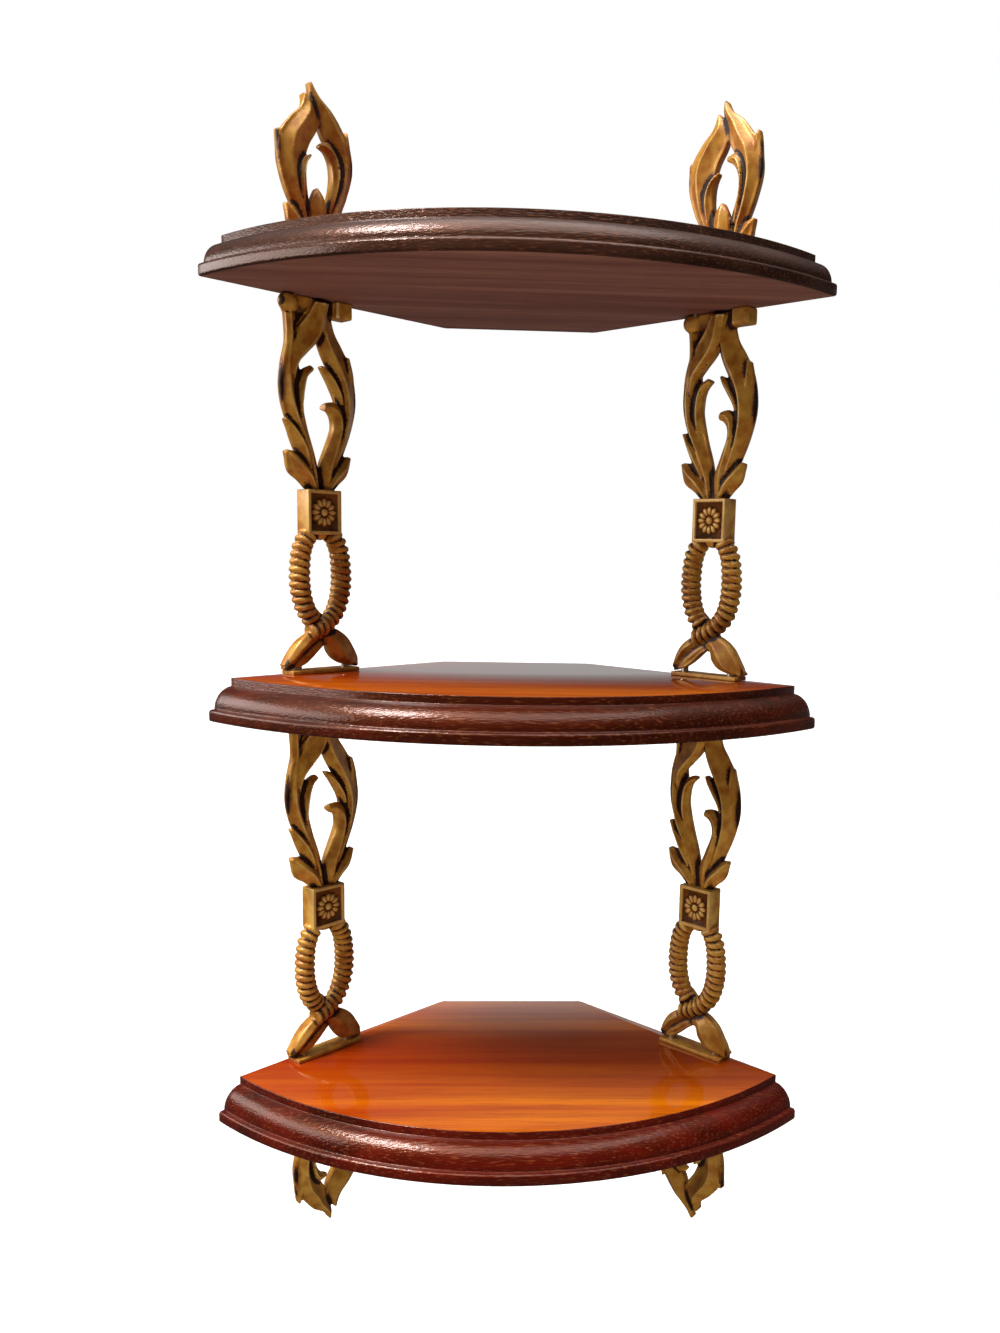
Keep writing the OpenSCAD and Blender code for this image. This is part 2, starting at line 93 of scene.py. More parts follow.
def show(name, mesh, cad_node, material):
    """Show a mesh in place of a CAD node."""
    piece = add(name, mesh)
    mesh.materials.append(material)
    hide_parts(cad_node)
    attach(piece, "root")
    return piece


# %% [markdown]
# ## The camera
# The photograph was taken from a little above the middle of the unit, from about 0.6 m, with a
# wide lens. The camera's place and turn were found by fitting it to the corners and edges of the
# three boards. A small lens shift stands for the way the picture was trimmed.

# %% The camera at the photograph's viewing angle
CAMERA_AT = (-2.66, -580.6, 380.9)
yaw, pitch, roll = (math.radians(a) for a in (2.8542, -7.9949, 1.1325))
right = Vector((math.cos(yaw), -math.sin(yaw), 0))
ahead = Vector((math.sin(yaw) * math.cos(pitch), math.cos(yaw) * math.cos(pitch), math.sin(pitch)))
up = right.cross(ahead)
rolled_right = right * math.cos(roll) + up * math.sin(roll)
rolled_up = up * math.cos(roll) - right * math.sin(roll)
turned = Matrix((rolled_right, rolled_up, -ahead)).transposed()
lens = bpy.data.cameras.new("camera")
lens.sensor_width = 36
lens.lens = 30.233
lens.shift_x, lens.shift_y = -0.0496, 0.0320
camera = add("camera", lens)
camera.matrix_world = Matrix.Translation(Vector(CAMERA_AT) * MM) @ turned.to_4x4()
bpy.context.scene.camera = camera
print("camera at", [round(c, 3) for c in camera.location])

# %% [markdown]
# ## One function for nodes
# A material is a small net of nodes. One function adds a node, sets what it is told and joins
# its inputs, so that each finish below reads as a recipe. Colours are given as sRGB hex values,
# the way a paint chart gives them, and turned to linear light in one place.

# %% Colours and nodes
def colour(code):
    """An sRGB hex colour as linear RGBA."""
    parts = [int(code[i:i + 2], 16) / 255 for i in (1, 3, 5)]
    return [c / 12.92 if c <= 0.04045 else ((c + 0.055) / 1.055) ** 2.4 for c in parts] + [1.0]


def node(tree, kind, inputs=None, **settings):
    """Add a node with its settings. An input is a value or the output of another node."""
    made = tree.nodes.new("ShaderNode" + kind)
    for key, value in settings.items():
        setattr(made, key, value)
    for key, value in (inputs or {}).items():
        if isinstance(value, bpy.types.NodeSocket):
            tree.links.new(value, made.inputs[key])
        else:
            made.inputs[key].default_value = value
    return made


print("mid grey in linear light:", round(colour("#808080")[0], 3))

# %% [markdown]
# ## Layers of colour
# In stain, wear and rubbed paint alike, and in painted shade and highlight, one colour lies over
# another, thick in some places and thin in others. A layer does that: it mixes its colour in where
# some pattern rises from one value to another. Wood and turned steel also share a pattern, streaks,
# which is noise pulled long.

# %% The parts of a recipe
def blank(name):
    """A new material and its empty net."""
    material = bpy.data.materials.new(name)
    material.use_nodes = True
    material.node_tree.nodes.clear()
    return material, material.node_tree


def streaks(tree, here, per_metre, inputs):
    """Noise pulled long. per_metre is how many patches fit in a metre along X, Y and Z."""
    pulled = node(tree, "Mapping", {"Vector": here, "Scale": per_metre}).outputs[0]
    return node(tree, "TexNoise", {"Vector": pulled, "Scale": 1.0, **inputs}).outputs["Fac"]


def layer(tree, base, pattern, start, full, most, code):
    """Lay a colour over the base where a pattern goes from start to full, and at most so thick."""
    cover = node(tree, "MapRange", {"Value": pattern, "From Min": start, "From Max": full,
        "To Max": most}).outputs[0]
    # In a Mix node set to colours, 6 and 7 are the two colours that go in
    return node(tree, "Mix", {0: cover, 6: base, 7: colour(code)}, data_type="RGBA").outputs[2]


def surface(material, inputs):
    """End a net with its shader. What is the same all over is set on the shader's own sockets."""
    shader = node(material.node_tree, "BsdfPrincipled", inputs)
    node(material.node_tree, "OutputMaterial", {"Surface": shader.outputs[0]})
    return material


# %% [markdown]
# ## The boards' wood
# The boards are mahogany, planed, stained red-brown and varnished. The grain runs from left to
# right in every board, so the pattern is pulled long along X: colour bands, growth rings and
# fibres. Three finishes share that grain: a glossy top, a dark edge and a dull underside.

# %% Mahogany grain
def wooden(material, base, relief, bump, rough, inputs):
    """End a wood's net: one pattern gives its relief, up to 0.3 mm deep, and its roughness."""
    tree = material.node_tree
    skin = node(tree, "Bump", {"Height": relief, "Strength": bump, "Distance": 0.0003}).outputs[0]
    dull = node(tree, "MapRange", {"Value": relief, "To Min": rough[0], "To Max": rough[1]}).outputs[0]
    return surface(material, {"Base Color": base, "Roughness": dull, "Normal": skin,
        "Coat Normal": skin, **inputs})


def mahogany(name, shift, light, dark, line):
    """A material with the grain of stained mahogany. Each board is cut from another place in the
    plank. Returns the material, its net, its colour, the shifted coordinates and the fibres."""
    material, tree = blank(name)
    here = node(tree, "TexCoord").outputs["Object"]
    moved = node(tree, "Mapping", {"Vector": here, "Location": shift}).outputs[0]
    # Colour bands: 14 mm across the grain, 300 mm along it
    bands = streaks(tree, moved, (3.3, 70, 70), {"Detail": 3.0, "Distortion": 0.4})
    base = layer(tree, colour(dark), bands, 0.3, 0.7, 1.0, light)
    # Growth rings: 18 mm apart, since a wave has 20 / (2 pi) crests to a unit, bent by a slow noise
    grown = node(tree, "Mapping", {"Vector": moved, "Scale": (1.6, 17, 17)}).outputs[0]
    rings = node(tree, "TexWave", {"Vector": grown, "Scale": 1.0, "Distortion": 6.0, "Detail": 2.0,
        "Detail Scale": 0.5}, bands_direction="Y").outputs["Fac"]
    base = layer(tree, base, rings, 0.65, 1.0, 0.22, line)
    # Fibres: 1.2 mm across, 30 mm along. Real ones are finer and would not show.
    fibres = streaks(tree, moved, (33, 850, 850), {"Detail": 4.0, "Roughness": 0.65})
    base = layer(tree, base, fibres, 0.48, 0.75, 0.5, line)
    return material, tree, base, moved, fibres


# %% [markdown]
# ## The varnished top
# The top got the most coats of varnish. It mirrors the feet of the posts, and the orange stain
# glows through it. So the wood itself hardly shines, and the clear coat over it is almost a
# mirror. A darker, redder band across the middle of the top is a painted shadow, the shade that
# the board above casts on it.

# %% Gloss varnish on the top
def glossy_top(name, shift):
    material, tree, base, _, fibres = mahogany(name, shift, "#be6200", "#943804", "#5e1602")
    spot = node(tree, "SeparateXYZ", {0: node(tree, "TexCoord").outputs["Object"]}).outputs
    off = node(tree, "Math", {0: spot["Y"], 1: 0.004}, operation="SUBTRACT").outputs[0]
    off = node(tree, "Math", {0: off}, operation="ABSOLUTE").outputs[0]
    # Painted shadow of the board above: darker and redder, full within 15 mm of y = 4 mm, none past 50 mm
    base = layer(tree, base, off, 0.05, 0.015, 0.6, "#741a06")
    # Redder towards the left end
    base = layer(tree, base, spot["X"], 0.02, -0.1, 0.2, "#b02602")
    return wooden(material, base, fibres, 0.05, (0.3, 0.4), {"Specular IOR Level": 0.05,
        "Coat Weight": 1.0, "Coat IOR": 1.65, "Coat Roughness": 0.03})


# %% [markdown]
# ## The toned edge
# The routed edge was toned dark before it was varnished, and its colour is darkened further as
# painted shade, for the upright faces that get little of the light from above. The cutter opened
# the pores of the wood, so the shine is broken into short streaks, and lighter flecks stand for
# scuffed ends of fibres and for painted glints of that broken shine. Light that comes back from
# under the toner is brown, which the tint of the reflection stands for.

# %% Toned and varnished edge
def edge_toned_with_painted_shade(name, shift, light, dark):
    material, tree, base, moved, _ = mahogany(name, shift, light, dark, "#200603")
    # Cut pores: 0.8 mm by 6 mm. Real ones are about 0.2 mm by 3 mm and would not show.
    pores = streaks(tree, moved, (170, 1300, 1300), {"Detail": 2.0})
    # Lighter flecks: scuffed ends of fibres, and painted glints of the broken shine
    base = layer(tree, base, pores, 0.56, 0.75, 0.35, "#9c5830")
    return wooden(material, base, pores, 0.6, (0.3, 0.42), {"Specular IOR Level": 0.6,
        "Specular Tint": colour("#d07c48"), "Coat Weight": 0.45, "Coat Roughness": 0.08})


# %% [markdown]
# ## The dull underside
# Nobody looks at the underside, so after the stain it got one thin coat. The fibres are still
# raised, and there is hardly any shine. The finishes are then made for each board, each from its
# own place in the plank, in metres, and with its own tone for the edge. The tones differ partly as
# the stain does and partly as painted reflection: the top board's greyer edge paints the grey it
# reflects.

# %% Dull stain, and the finishes of each board
# Edge tones, light and dark: darkened as painted shade, and greyer on the top board as painted reflection
PLANKS = {
    "shelf_top": ((0.31, 0.12, 0.0), "#3c241a", "#1e0e0a"),
    "shelf_middle": ((0.9, 0.37, 0.0), "#481406", "#220602"),
    "shelf_bottom": ((1.7, 0.05, 0.0), "#560e05", "#2c0502"),
}


def dull_underside(name, shift):
    material, _, base, _, fibres = mahogany(name, shift, "#9c6c5a", "#784a3e", "#482824")
    return wooden(material, base, fibres, 0.2, (0.5, 0.62), {"Specular IOR Level": 0.15})


finishes = {}
for name, (shift, light, dark) in PLANKS.items():
    finishes[name] = (glossy_top(name + "_glossy_mahogany", shift),
        edge_toned_with_painted_shade(name + "_mahogany_toned_with_painted_shade", shift, light, dark),
        dull_underside(name + "_dull_mahogany", shift))
    print(name, "has", len(finishes[name]), "finishes")

# %% [markdown]
# ## The section of the edge
# A real board is sawn to a quarter round and its front edge is run past a router cutter. In the
# mesh the order is turned round: the section of the edge is drawn first, and turning it about the
# room corner makes the board and its moulding in one go. From below, the section has a band with
# a small rim and nose, a ledge, a long round, a narrow ledge and the top band.

# %% Draw the section of the edge
TOP_BAND, TOP_LEDGE, ROUND_OUT, BOTTOM_LEDGE, BOTTOM_BAND = 4.2, 1.0, 8.7, 3.0, 6.0
RIM_ROUND, NOSE_ROUND = 1.2, 1.6
# The section ends short of the room corner, in the part that is sawn off later
INNER_R = 40
SHELF_TOP_R = SHELF_R - TOP_LEDGE - ROUND_OUT - BOTTOM_LEDGE


def arc(x, z, radius, start, stop, count):
    """Points on an arc, from one angle in degrees to another."""
    turns = [math.radians(a) for a in np.linspace(start, stop, count)]
    return [(x + radius * math.cos(a), z + radius * math.sin(a)) for a in turns]


round_down = SHELF_T - TOP_BAND - BOTTOM_BAND
round_r = (ROUND_OUT ** 2 + round_down ** 2) / (2 * ROUND_OUT)
sweep = math.degrees(math.asin(round_down / round_r))
section = [(INNER_R, 0),
    *arc(SHELF_R - RIM_ROUND, RIM_ROUND, RIM_ROUND, -90, 0, 5),
    *arc(SHELF_R - NOSE_ROUND, BOTTOM_BAND - NOSE_ROUND, NOSE_ROUND, 0, 90, 5),
    *arc(SHELF_R - BOTTOM_LEDGE - round_r, BOTTOM_BAND, round_r, 0, sweep, 12),
    (SHELF_TOP_R, SHELF_T - TOP_BAND), (SHELF_TOP_R, SHELF_T), (INNER_R, SHELF_T)]
print("top face radius", SHELF_TOP_R, "mm,", len(section), "points in the section")

# %% [markdown]
# ## Closing, sawing and rubbing down
# Three jobs come back on many pieces. A face closes a hole, a plane saws off what lies beyond it,
# and a narrow bevel rubs an edge down, as sandpaper would. The bevel operator has other defaults
# than the editor, so its kind, profile and material are always given.

# %% Helpers for solid work
def close(bench):
    """Fill each hole with a face."""
    bmesh.ops.holes_fill(bench, edges=[e for e in bench.edges if e.is_boundary])


def saw(bench, at, towards):
    """Saw off what lies beyond a plane, and close the cut."""
    whole = bench.verts[:] + bench.edges[:] + bench.faces[:]
    bmesh.ops.bisect_plane(bench, geom=whole, plane_co=at, plane_no=towards, clear_outer=True)
    close(bench)


def soften(bench, edges, offset, segments, clamp=False):
    """Round edges off."""
    bmesh.ops.bevel(bench, geom=edges, offset=offset, segments=segments, affect="EDGES",
        profile=0.5, material=-1, clamp_overlap=clamp)


# %% [markdown]
# ## The boards
# The section is spun a quarter turn about the room corner. The corner itself is sawn off, as on
# the real board, and all edges are softened. The finishes go on by height: the top face is number
# 0, the edge and the wall sides are 1, and the underside is 2.

# %% Spin the section into a board
SANDED, TINY = 0.4, 0.01
# The flat top and underside are the faces larger than this, in square millimetres
FLAT_AREA = 400


def board(name, z):
    """One quarter-round board with its moulded edge, in millimetres."""
    bench = bmesh.new()
    start = math.radians(225)
    corners = [bench.verts.new((r * math.cos(start), CORNER_Y + r * math.sin(start), z + h))
        for r, h in section]
    ring = [bench.edges.new(pair) for pair in zip(corners, corners[1:] + corners[:1])]
    bmesh.ops.spin(bench, geom=corners + ring, cent=(0, CORNER_Y, 0), axis=(0, 0, 1),
        angle=math.pi / 2, steps=90)
    # The two wall sides are closed before the back is sawn off, so that each hole lies in one plane
    close(bench)
    cut_y = CORNER_Y - CORNER_CUT
    saw(bench, (0, cut_y, 0), (0, 1, 0))
    bmesh.ops.remove_doubles(bench, verts=bench.verts, dist=0.001)
    bmesh.ops.recalc_face_normals(bench, faces=bench.faces)
    # The two upright edges beside the cut are rounded, and then every sharp edge is sanded
    back = [e for e in bench.edges if abs(e.verts[0].co.z - e.verts[1].co.z) > SHELF_T - 1
        and min(v.co.y for v in e.verts) > cut_y - TINY]
    soften(bench, back, CUT_ROUND * math.tan(math.radians(22.5)), 4)
    sharp = [e for e in bench.edges if e.calc_face_angle(0) > math.radians(25)]
    soften(bench, sharp, SANDED, 2, clamp=True)
    # A clamped bevel leaves some points in one spot
    bmesh.ops.remove_doubles(bench, verts=bench.verts, dist=0.001)
    for face in bench.faces:
        face.smooth = face.calc_area() < FLAT_AREA
        level = face.calc_center_median().z - z
        face.material_index = 0 if level > SHELF_T - TINY else 2 if level < TINY else 1
    return store(bench, name, MM)


for name, z in {"shelf_top": TOP_Z, "shelf_middle": MIDDLE_Z, "shelf_bottom": BOTTOM_Z}.items():
    top, edge, underside = finishes[name]
    piece = show(name + "_board", board(name, z), name, top)
    piece.data.materials.append(edge)
    piece.data.materials.append(underside)
    print(piece.name, len(piece.data.polygons), "faces")

# %% [markdown]
# ## The mouldings' finish
# Posts and finials are moulded, primed dark brown and painted with antique gold. The painter
# wiped the gold over the raised parts, so it is bright on the crests and rims, a warm satin gold
# on the sides, and the dark ground stays in the hollows. The colour also paints light: the hollows
# and recesses are darkened further as painted shade, and the crests are lightened as painted
# highlight. Two numbers at each point of a moulding say how deep it lies and how much it stands
# proud. They are measured from the mesh below.

# %% Antique gold paint
def gilding_and_painted_light():
    """Gold paint over a dark ground: low-lying parts are dark, as ground and as painted shade; crests are
    bright, as rubbed gold and as painted highlight.
    """
    material, tree = blank("gold_paint_and_painted_light")
    here = node(tree, "TexCoord").outputs["Object"]
    deep = node(tree, "Attribute", attribute_name="hollow").outputs["Fac"]
    proud = node(tree, "Attribute", attribute_name="crest").outputs["Fac"]
    # Brushing of the paint: patches of about 6 mm, and a grain of about 0.8 mm
    patches = node(tree, "TexNoise", {"Vector": here, "Scale": 160.0, "Detail": 3.0}).outputs["Fac"]
    grit = node(tree, "TexNoise", {"Vector": here, "Scale": 1200.0, "Detail": 2.0}).outputs["Fac"]
    base = layer(tree, colour("#a4641e"), patches, 0.35, 0.65, 1.0, "#cc963c")
    # Crests lightened: rubbed gold, and painted highlight
    base = layer(tree, base, proud, 0.1, 0.8, 0.85, "#f6d688")
    # The patches shake the line where the wiping cloth stopped; the dark below is ground and painted shade
    shaken = node(tree, "Math", {0: patches, 1: 0.5}, operation="SUBTRACT").outputs[0]
    depth = node(tree, "Math", {0: shaken, 1: 0.5, 2: deep}, operation="MULTIPLY_ADD").outputs[0]
    base = layer(tree, base, depth, 0.05, 0.4, 0.75, "#743616")
    base = layer(tree, base, depth, 0.2, 0.6, 0.97, "#1c0a05")
    # Specks of the ground in the gold
    base = layer(tree, base, grit, 0.6, 0.75, 0.3, "#5a3012")
    rough = node(tree, "MapRange", {"Value": depth, "To Min": 0.36, "To Max": 0.6}).outputs[0]
    skin = node(tree, "Bump", {"Height": grit, "Strength": 0.15, "Distance": 0.0002}).outputs[0]
    return surface(material, {"Base Color": base, "Roughness": rough, "Normal": skin, "Metallic": 0.2})


gold = gilding_and_painted_light()
print("moulding finish:", gold.name)

# %% [markdown]
# ## Smooth lines from a few points
# A carver marks a leaf out with a few strokes. Here a stroke is a short list of points, and a
# Catmull-Rom curve runs smoothly through them.

# %% Curves through listed points
def curve(points, t):
    """Points on a smooth curve through a list, with t from 0 to 1."""
    p = np.asarray(points, float)
    last = len(p) - 1
    along = np.clip(t, 0, 1) * last
    i = np.minimum(np.asarray(along).astype(int), last - 1)
    f = np.reshape(along - i, np.shape(along) + (1,) * (p.ndim - 1))
    a, b, c, d = (p[np.clip(i + k, 0, last)] for k in (-1, 0, 1, 2))
    square, cube = 2 * a - 5 * b + 4 * c - d, 3 * b - a - 3 * c + d
    return b + (c - a) * f / 2 + square * f ** 2 / 2 + cube * f ** 3 / 2


print("a quarter along a bow:", curve([(0, 0), (8, 10), (0, 20)], 0.25))

# %% [markdown]
# ## A carved leaf
# The scrollwork is made of leaves, cut in the round: a crest runs along each, the face falls off
# hollow on both sides to a thin raised rim, and the sides slope back in towards the wall. One
# could sculpt this by hand. Here a flat grid is rolled into each leaf instead: its middle columns
# make the face between two drawn edges, and its outer columns fold round the sides and meet
# behind. Many leaves overlap, and a later step melts them into one casting.

# %% Roll a grid into a leaf
BACK_GAP, TUCK = 0.5, 2.0
SIDE, FACE = 7, 22
LIP_IN = 0.6


def leaf(bench, left_edge, right_edge, rim, ridge, crest=(0.5, 0.5), lip=0.5, hollow=1.5, lift=0.0,
        steps=48):
    """A leaf between two edges, each listed from root to tip. rim and ridge are the depths of the
    sides and of the crest, and crest is its place across the leaf. A hollow over 1 dishes the
    face, one under 1 swells it. lift raises the back off the wall at the tip."""
    columns = 2 * SIDE + FACE
    made = bmesh.ops.create_grid(bench, x_segments=columns, y_segments=steps, size=0.5)["verts"]
    flat = np.array([v.co for v in made]) + 0.5
    s = np.interp(flat[:, 0] * columns, (0, SIDE, SIDE + FACE, columns), (-1, 0, 1, 2))
    t = flat[:, 1]
    a, b, low, high, middle = (curve(line, t) for line in (left_edge, right_edge, rim, ridge, crest))
    width = np.linalg.norm(b - a, axis=1) + 0.01
    face = np.clip(s, 0, 1)
    rise = np.where(face < middle, face / middle, (1 - face) / (1 - middle)) ** hollow
    edge = np.minimum(face, 1 - face) * width
    raised = lip * np.minimum(1, width / 6) * np.exp(-((edge - LIP_IN) / LIP_IN) ** 2)
    front = low + (high - low) * rise + raised
    # Past the rim a column runs back along the side, and then to the middle of the back
    fold = np.abs(s - face)
    side, behind = np.minimum(fold / 0.7, 1), np.maximum(fold - 0.7, 0) / 0.3
    tuck = np.minimum(0.3, TUCK / width)
    shift = tuck * side ** 1.5 + (0.5 - tuck) * behind
    depth = front + (BACK_GAP + lift * t ** 2 - front) * side
    spots = a + (b - a) * (face + np.where(s < 0.5, shift, -shift))[:, None]
    for v, (x, z), y in zip(made, spots, depth):
        v.co = (x, -y, z)
    bmesh.ops.remove_doubles(bench, verts=made, dist=0.001)
    close(bench)


test = bmesh.new()
leaf(test, [(0, 0), (-8, 20), (-2, 40)], [(6, 0), (6, 20), (-1, 40)], rim=[5, 6, 4], ridge=[8, 9, 5])
print("one leaf:", len(test.faces), "faces, open edges:", sum(e.is_boundary for e in test.edges))
test.free()

# %% [markdown]
# ## The left arm of the scrollwork
# Two leafy arms grow out of the block of a post, bulge apart and lean together again under the
# bar. The left arm sends a broad leaf over the middle, in front of the right arm, up to the shelf
# itself. Each leaf is drawn by its two edges, in millimetres, as a carver would mark it out on the
# blank: x runs along the wall, z upwards from the foot of the post.

# %% Carve the left arm
loop = bmesh.new()
# The arm itself, up to the left end of the bar
leaf(loop,
    [(-4.8, 91.5), (-7.7, 105), (-13.5, 120), (-20.2, 133), (-23, 145.5), (-21.8, 158), (-19.2, 170),
        (-20, 184)],
    [(1, 91.5), (0, 103), (-2.6, 114), (-6.2, 125), (-9.4, 138), (-11, 152), (-13, 168), (-14, 184)],
    rim=[5, 5, 5, 5, 5.5, 6], ridge=[8, 9.5, 10.5, 9.5, 8.5, 8.5], crest=(0.5, 0.45, 0.35, 0.3, 0.4),
    steps=110)
# The leaf over the middle. Its crest runs near its right edge, so most of it is one wide face.
leaf(loop,
    [(-19, 136), (-21.8, 148), (-21.2, 159), (-18.4, 168), (-13.4, 175), (-8.4, 181), (-4, 188.5)],
    [(-12, 138), (-13.4, 150), (-12.4, 157.4), (-7.8, 162.8), (-2.4, 168.4), (1.4, 175.5), (4.4, 188.5)],
    rim=[4, 6, 6.5, 7, 8, 9], ridge=[5, 9, 11, 11.4, 11.4, 11.2],
    crest=(0.5, 0.7, 0.8, 0.82, 0.78, 0.6), hollow=1.2, steps=90)
# Spur on the inner side. Its blunt tip hooks over to the right.
leaf(loop,
    [(-15, 124), (-16.4, 137), (-15, 147.5), (-11.6, 154.2), (-5.6, 157.6)],
    [(-7, 124), (-9.2, 137), (-8.8, 146.6), (-7, 151.6), (-3.6, 155)],
    rim=[4.5, 5.5, 6, 6.5, 7], ridge=[6, 9.4, 10.4, 10, 8.4], crest=(0.6, 0.7, 0.6), lift=2, steps=56)
print("left arm:", len(loop.faces), "faces")

# %% [markdown]
# ## The right arm
# The right arm leans in behind the leaf of the left one. Its crest runs along the left, which
# leaves a steep bright side there. One spur grows outwards and two grow inwards, and the lowest is
# a stem that curls over into a blunt cap, so it swells where the others are dished.

# %% Carve the right arm
leaf(loop,
    [(1, 91.5), (3, 103), (7, 115), (11.2, 126), (12.6, 138), (10.6, 148), (6, 157), (1.6, 165),
        (-1, 173), (-2.5, 186)],
    [(6, 91.5), (9.6, 101), (15, 113), (20.4, 126), (23.6, 138.5), (23.2, 150), (20.4, 160),
        (15.6, 168.5), (10.8, 176), (8, 186)],
    rim=[5, 5, 5, 5, 4.5, 4.5], ridge=[8, 9.5, 10.8, 10.8, 10, 8.5],
    crest=(0.5, 0.45, 0.34, 0.3, 0.3, 0.35), hollow=1.1, steps=110)
# Spur on the outer side
leaf(loop,
    [(14, 143), (14.5, 154), (17.4, 164.6)],
    [(23.2, 143), (22.4, 154), (19.6, 163.6)],
    rim=[4.5, 5.5, 6], ridge=[6, 8.5, 7], lift=2, steps=36)
# Upper spur on the inner side, narrow and pointed
leaf(loop,
    [(12.6, 129), (10.4, 141), (6, 149), (3, 153.6), (1, 157.4)],
    [(17, 131), (15.6, 143), (11.6, 151), (7, 156), (2, 158.4)],
    rim=[5, 6, 6.5, 6.5, 6], ridge=[7, 9.6, 10, 9, 7], crest=(0.4, 0.4), lip=0.7, lift=2)
# Lower spur
leaf(loop,
    [(-1, 93.5), (-0.4, 106), (3.6, 116.5), (7.4, 125.5), (7.4, 131), (5, 134.4), (2.4, 135.4)],
    [(8, 93.5), (10.2, 108), (13.2, 119), (14.6, 129), (13, 136.6), (8.6, 140.4), (2.6, 139.6)],
    rim=[6, 6, 6.5, 7, 7, 7], ridge=[8, 10.4, 11, 11, 10, 8.6], hollow=0.8, lip=0.3, lift=2, steps=64)
print("both arms:", len(loop.faces), "faces")

# %% [markdown]
# ## Small leaves at the roots
# Three small leaves stand away from the feet of the arms, and their tips come off the wall. Two
# plain fillings close the gaps that a mould would not leave open: one between the roots, and one
# as a sunk ground under the bar.

# %% Carve the small leaves and the fillings
SMALL = {"rim": [6, 5.5, 5.5, 6], "lip": 0.8, "hollow": 1.1, "lift": 3}
leaf(loop,
    [(2.4, 95.5), (6.4, 105.4), (11.4, 111.6), (17.6, 113.6)],
    [(6, 92.5), (11.4, 98), (17, 103.4), (19.4, 112)],
    ridge=[8.5, 11.4, 11, 8], crest=(0.4, 0.5, 0.5), **SMALL)
leaf(loop,
    [(-8.6, 104), (-14.8, 114), (-18.6, 121.6), (-21.6, 129.6)],
    [(-2, 101), (-4.6, 113), (-9, 122.6), (-15, 128.4), (-20.6, 130.2)],
    ridge=[8, 11.4, 10.6, 7.5], crest=(0.45, 0.4), **SMALL)
leaf(loop,
    [(-5.8, 92.5), (-12.6, 98.6), (-19.4, 103.6), (-21.6, 113)],
    [(-0.5, 95.5), (-4.4, 106), (-11, 113), (-20, 114.6)],
    ridge=[8.5, 11.4, 11, 8], **SMALL)
# Fillings
leaf(loop,
    [(-8, 91.5), (-6, 98.4), (-2, 106)],
    [(8, 91.5), (6, 98.4), (1.8, 106)],
    rim=[6, 5, 3.5], ridge=[7, 6, 4], lip=0, steps=24)
leaf(loop,
    [(-18, 165), (-19, 176), (-17, 188)],
    [(-9, 162), (-3, 172), (4, 188)],
    rim=[4, 4.5, 5], ridge=[4, 4.5, 5], lip=0, steps=24)
print("upper scrollwork:", len(loop.faces), "faces")

# %% [markdown]
# ## The rope arms and the knot
# Below the block two arms carved like rope run round an oval opening and meet in a knot. A real
# carver files a groove every four millimetres. Threading flattened beads on a curve gives the
# same row of swollen ribs, and each is tilted a little, as the strands of a rope are. The right
# arm coils over the left one at the knot.

# %% Thread the beads
ARM = [(7.2, 72.6), (11.2, 65.8), (12.8, 56.5), (12.9, 46), (11.0, 37), (7.4, 30.4), (1.6, 25.4)]
COIL = ARM + [(-4.6, 22.6), (-9.4, 20.4)]
PITCH, BEAD_R, BEAD_DEEP, BEAD_LONG, ARM_OUT = 3.75, 5.8, 5.5, 2.12, 5.6
# A bead is a ball squared off a little, so that the grooves between the beads are narrow
SQUARED = 0.77
TWIST = math.radians(11)
# Near the knot, over its last 10 mm, an arm gets thinner and moves in or out
KNOT_TOP, KNOT_RUN = 34, 10


def stretched(at, size):
    """The matrix that makes a unit shape as large as size and moves it to its place."""
    return Matrix.Translation(at) @ Matrix.Diagonal((*size, 1))


def pebble(bench, at, size, around):
    """An ellipsoid, given by its three radii."""
    bmesh.ops.create_uvsphere(bench, u_segments=around, v_segments=around // 2, radius=1,
        matrix=stretched(at, size))


def rope(bench, side, line, end_out):
    """Beads along a line, tilted like the strands of a rope. side is -1 or 1. end_out is how far
    the last bead stands out from the wall."""
    fine = curve(line, np.linspace(0, 1, 200))
    along = np.concatenate(([0], np.cumsum(np.linalg.norm(np.diff(fine, axis=0), axis=1))))
    for k in range(int(along[-1] / PITCH)):
        x, z = (np.interp((k + 0.4) * PITCH, along, fine[:, i]) for i in (0, 1))
        dx, dz = (np.interp((k + 0.5) * PITCH, along, fine[:, i]) - (x, z)[i] for i in (0, 1))
        low = min(1, max(0, (KNOT_TOP - z) / KNOT_RUN))
        wide = BEAD_R * (0.9 + 0.1 * math.sin(math.pi * min(1, k / 14)) - 0.06 * low)
        out = ARM_OUT + (end_out - ARM_OUT) * low
        made = bmesh.ops.create_uvsphere(bench, u_segments=28, v_segments=14, radius=1)["verts"]
        for v in made:
            v.co.xy *= max(v.co.xy.length, 0.01) ** (SQUARED - 1)
            v.co.z = math.copysign(abs(v.co.z) ** SQUARED, v.co.z)
        bmesh.ops.transform(bench, verts=made, matrix=Matrix.Translation((side * x, -out, z))
            @ Matrix.Rotation(math.atan2(dx, dz) * side + TWIST, 4, "Y")
            @ Matrix.Diagonal((wide, BEAD_DEEP, BEAD_LONG, 1)))


ropes = bmesh.new()
rope(ropes, -1, ARM, end_out=4.6)
rope(ropes, 1, COIL, end_out=6.7)
# The arms grow together under the block
pebble(ropes, (0, -5, 73.4), (5.4, 4.2, 4), 24)
print("ropes and knot:", len(ropes.faces), "faces")

# %% [markdown]
# ## The feet
# Two fat leaves under the knot are the feet of a post. They swell where the leaves above are
# dished. The left foot is two lobes on either side of a crease, and the left arm runs on behind
# the knot into the right foot.

# %% Carve the feet
# The end of the left arm, behind the knot
leaf(ropes,
    [(-11, 30), (-6, 22), (1, 14)],
    [(-3, 34), (4, 27), (8, 20)],
    rim=[6, 7, 7], ridge=[7, 8, 8.5], lip=0, steps=24)
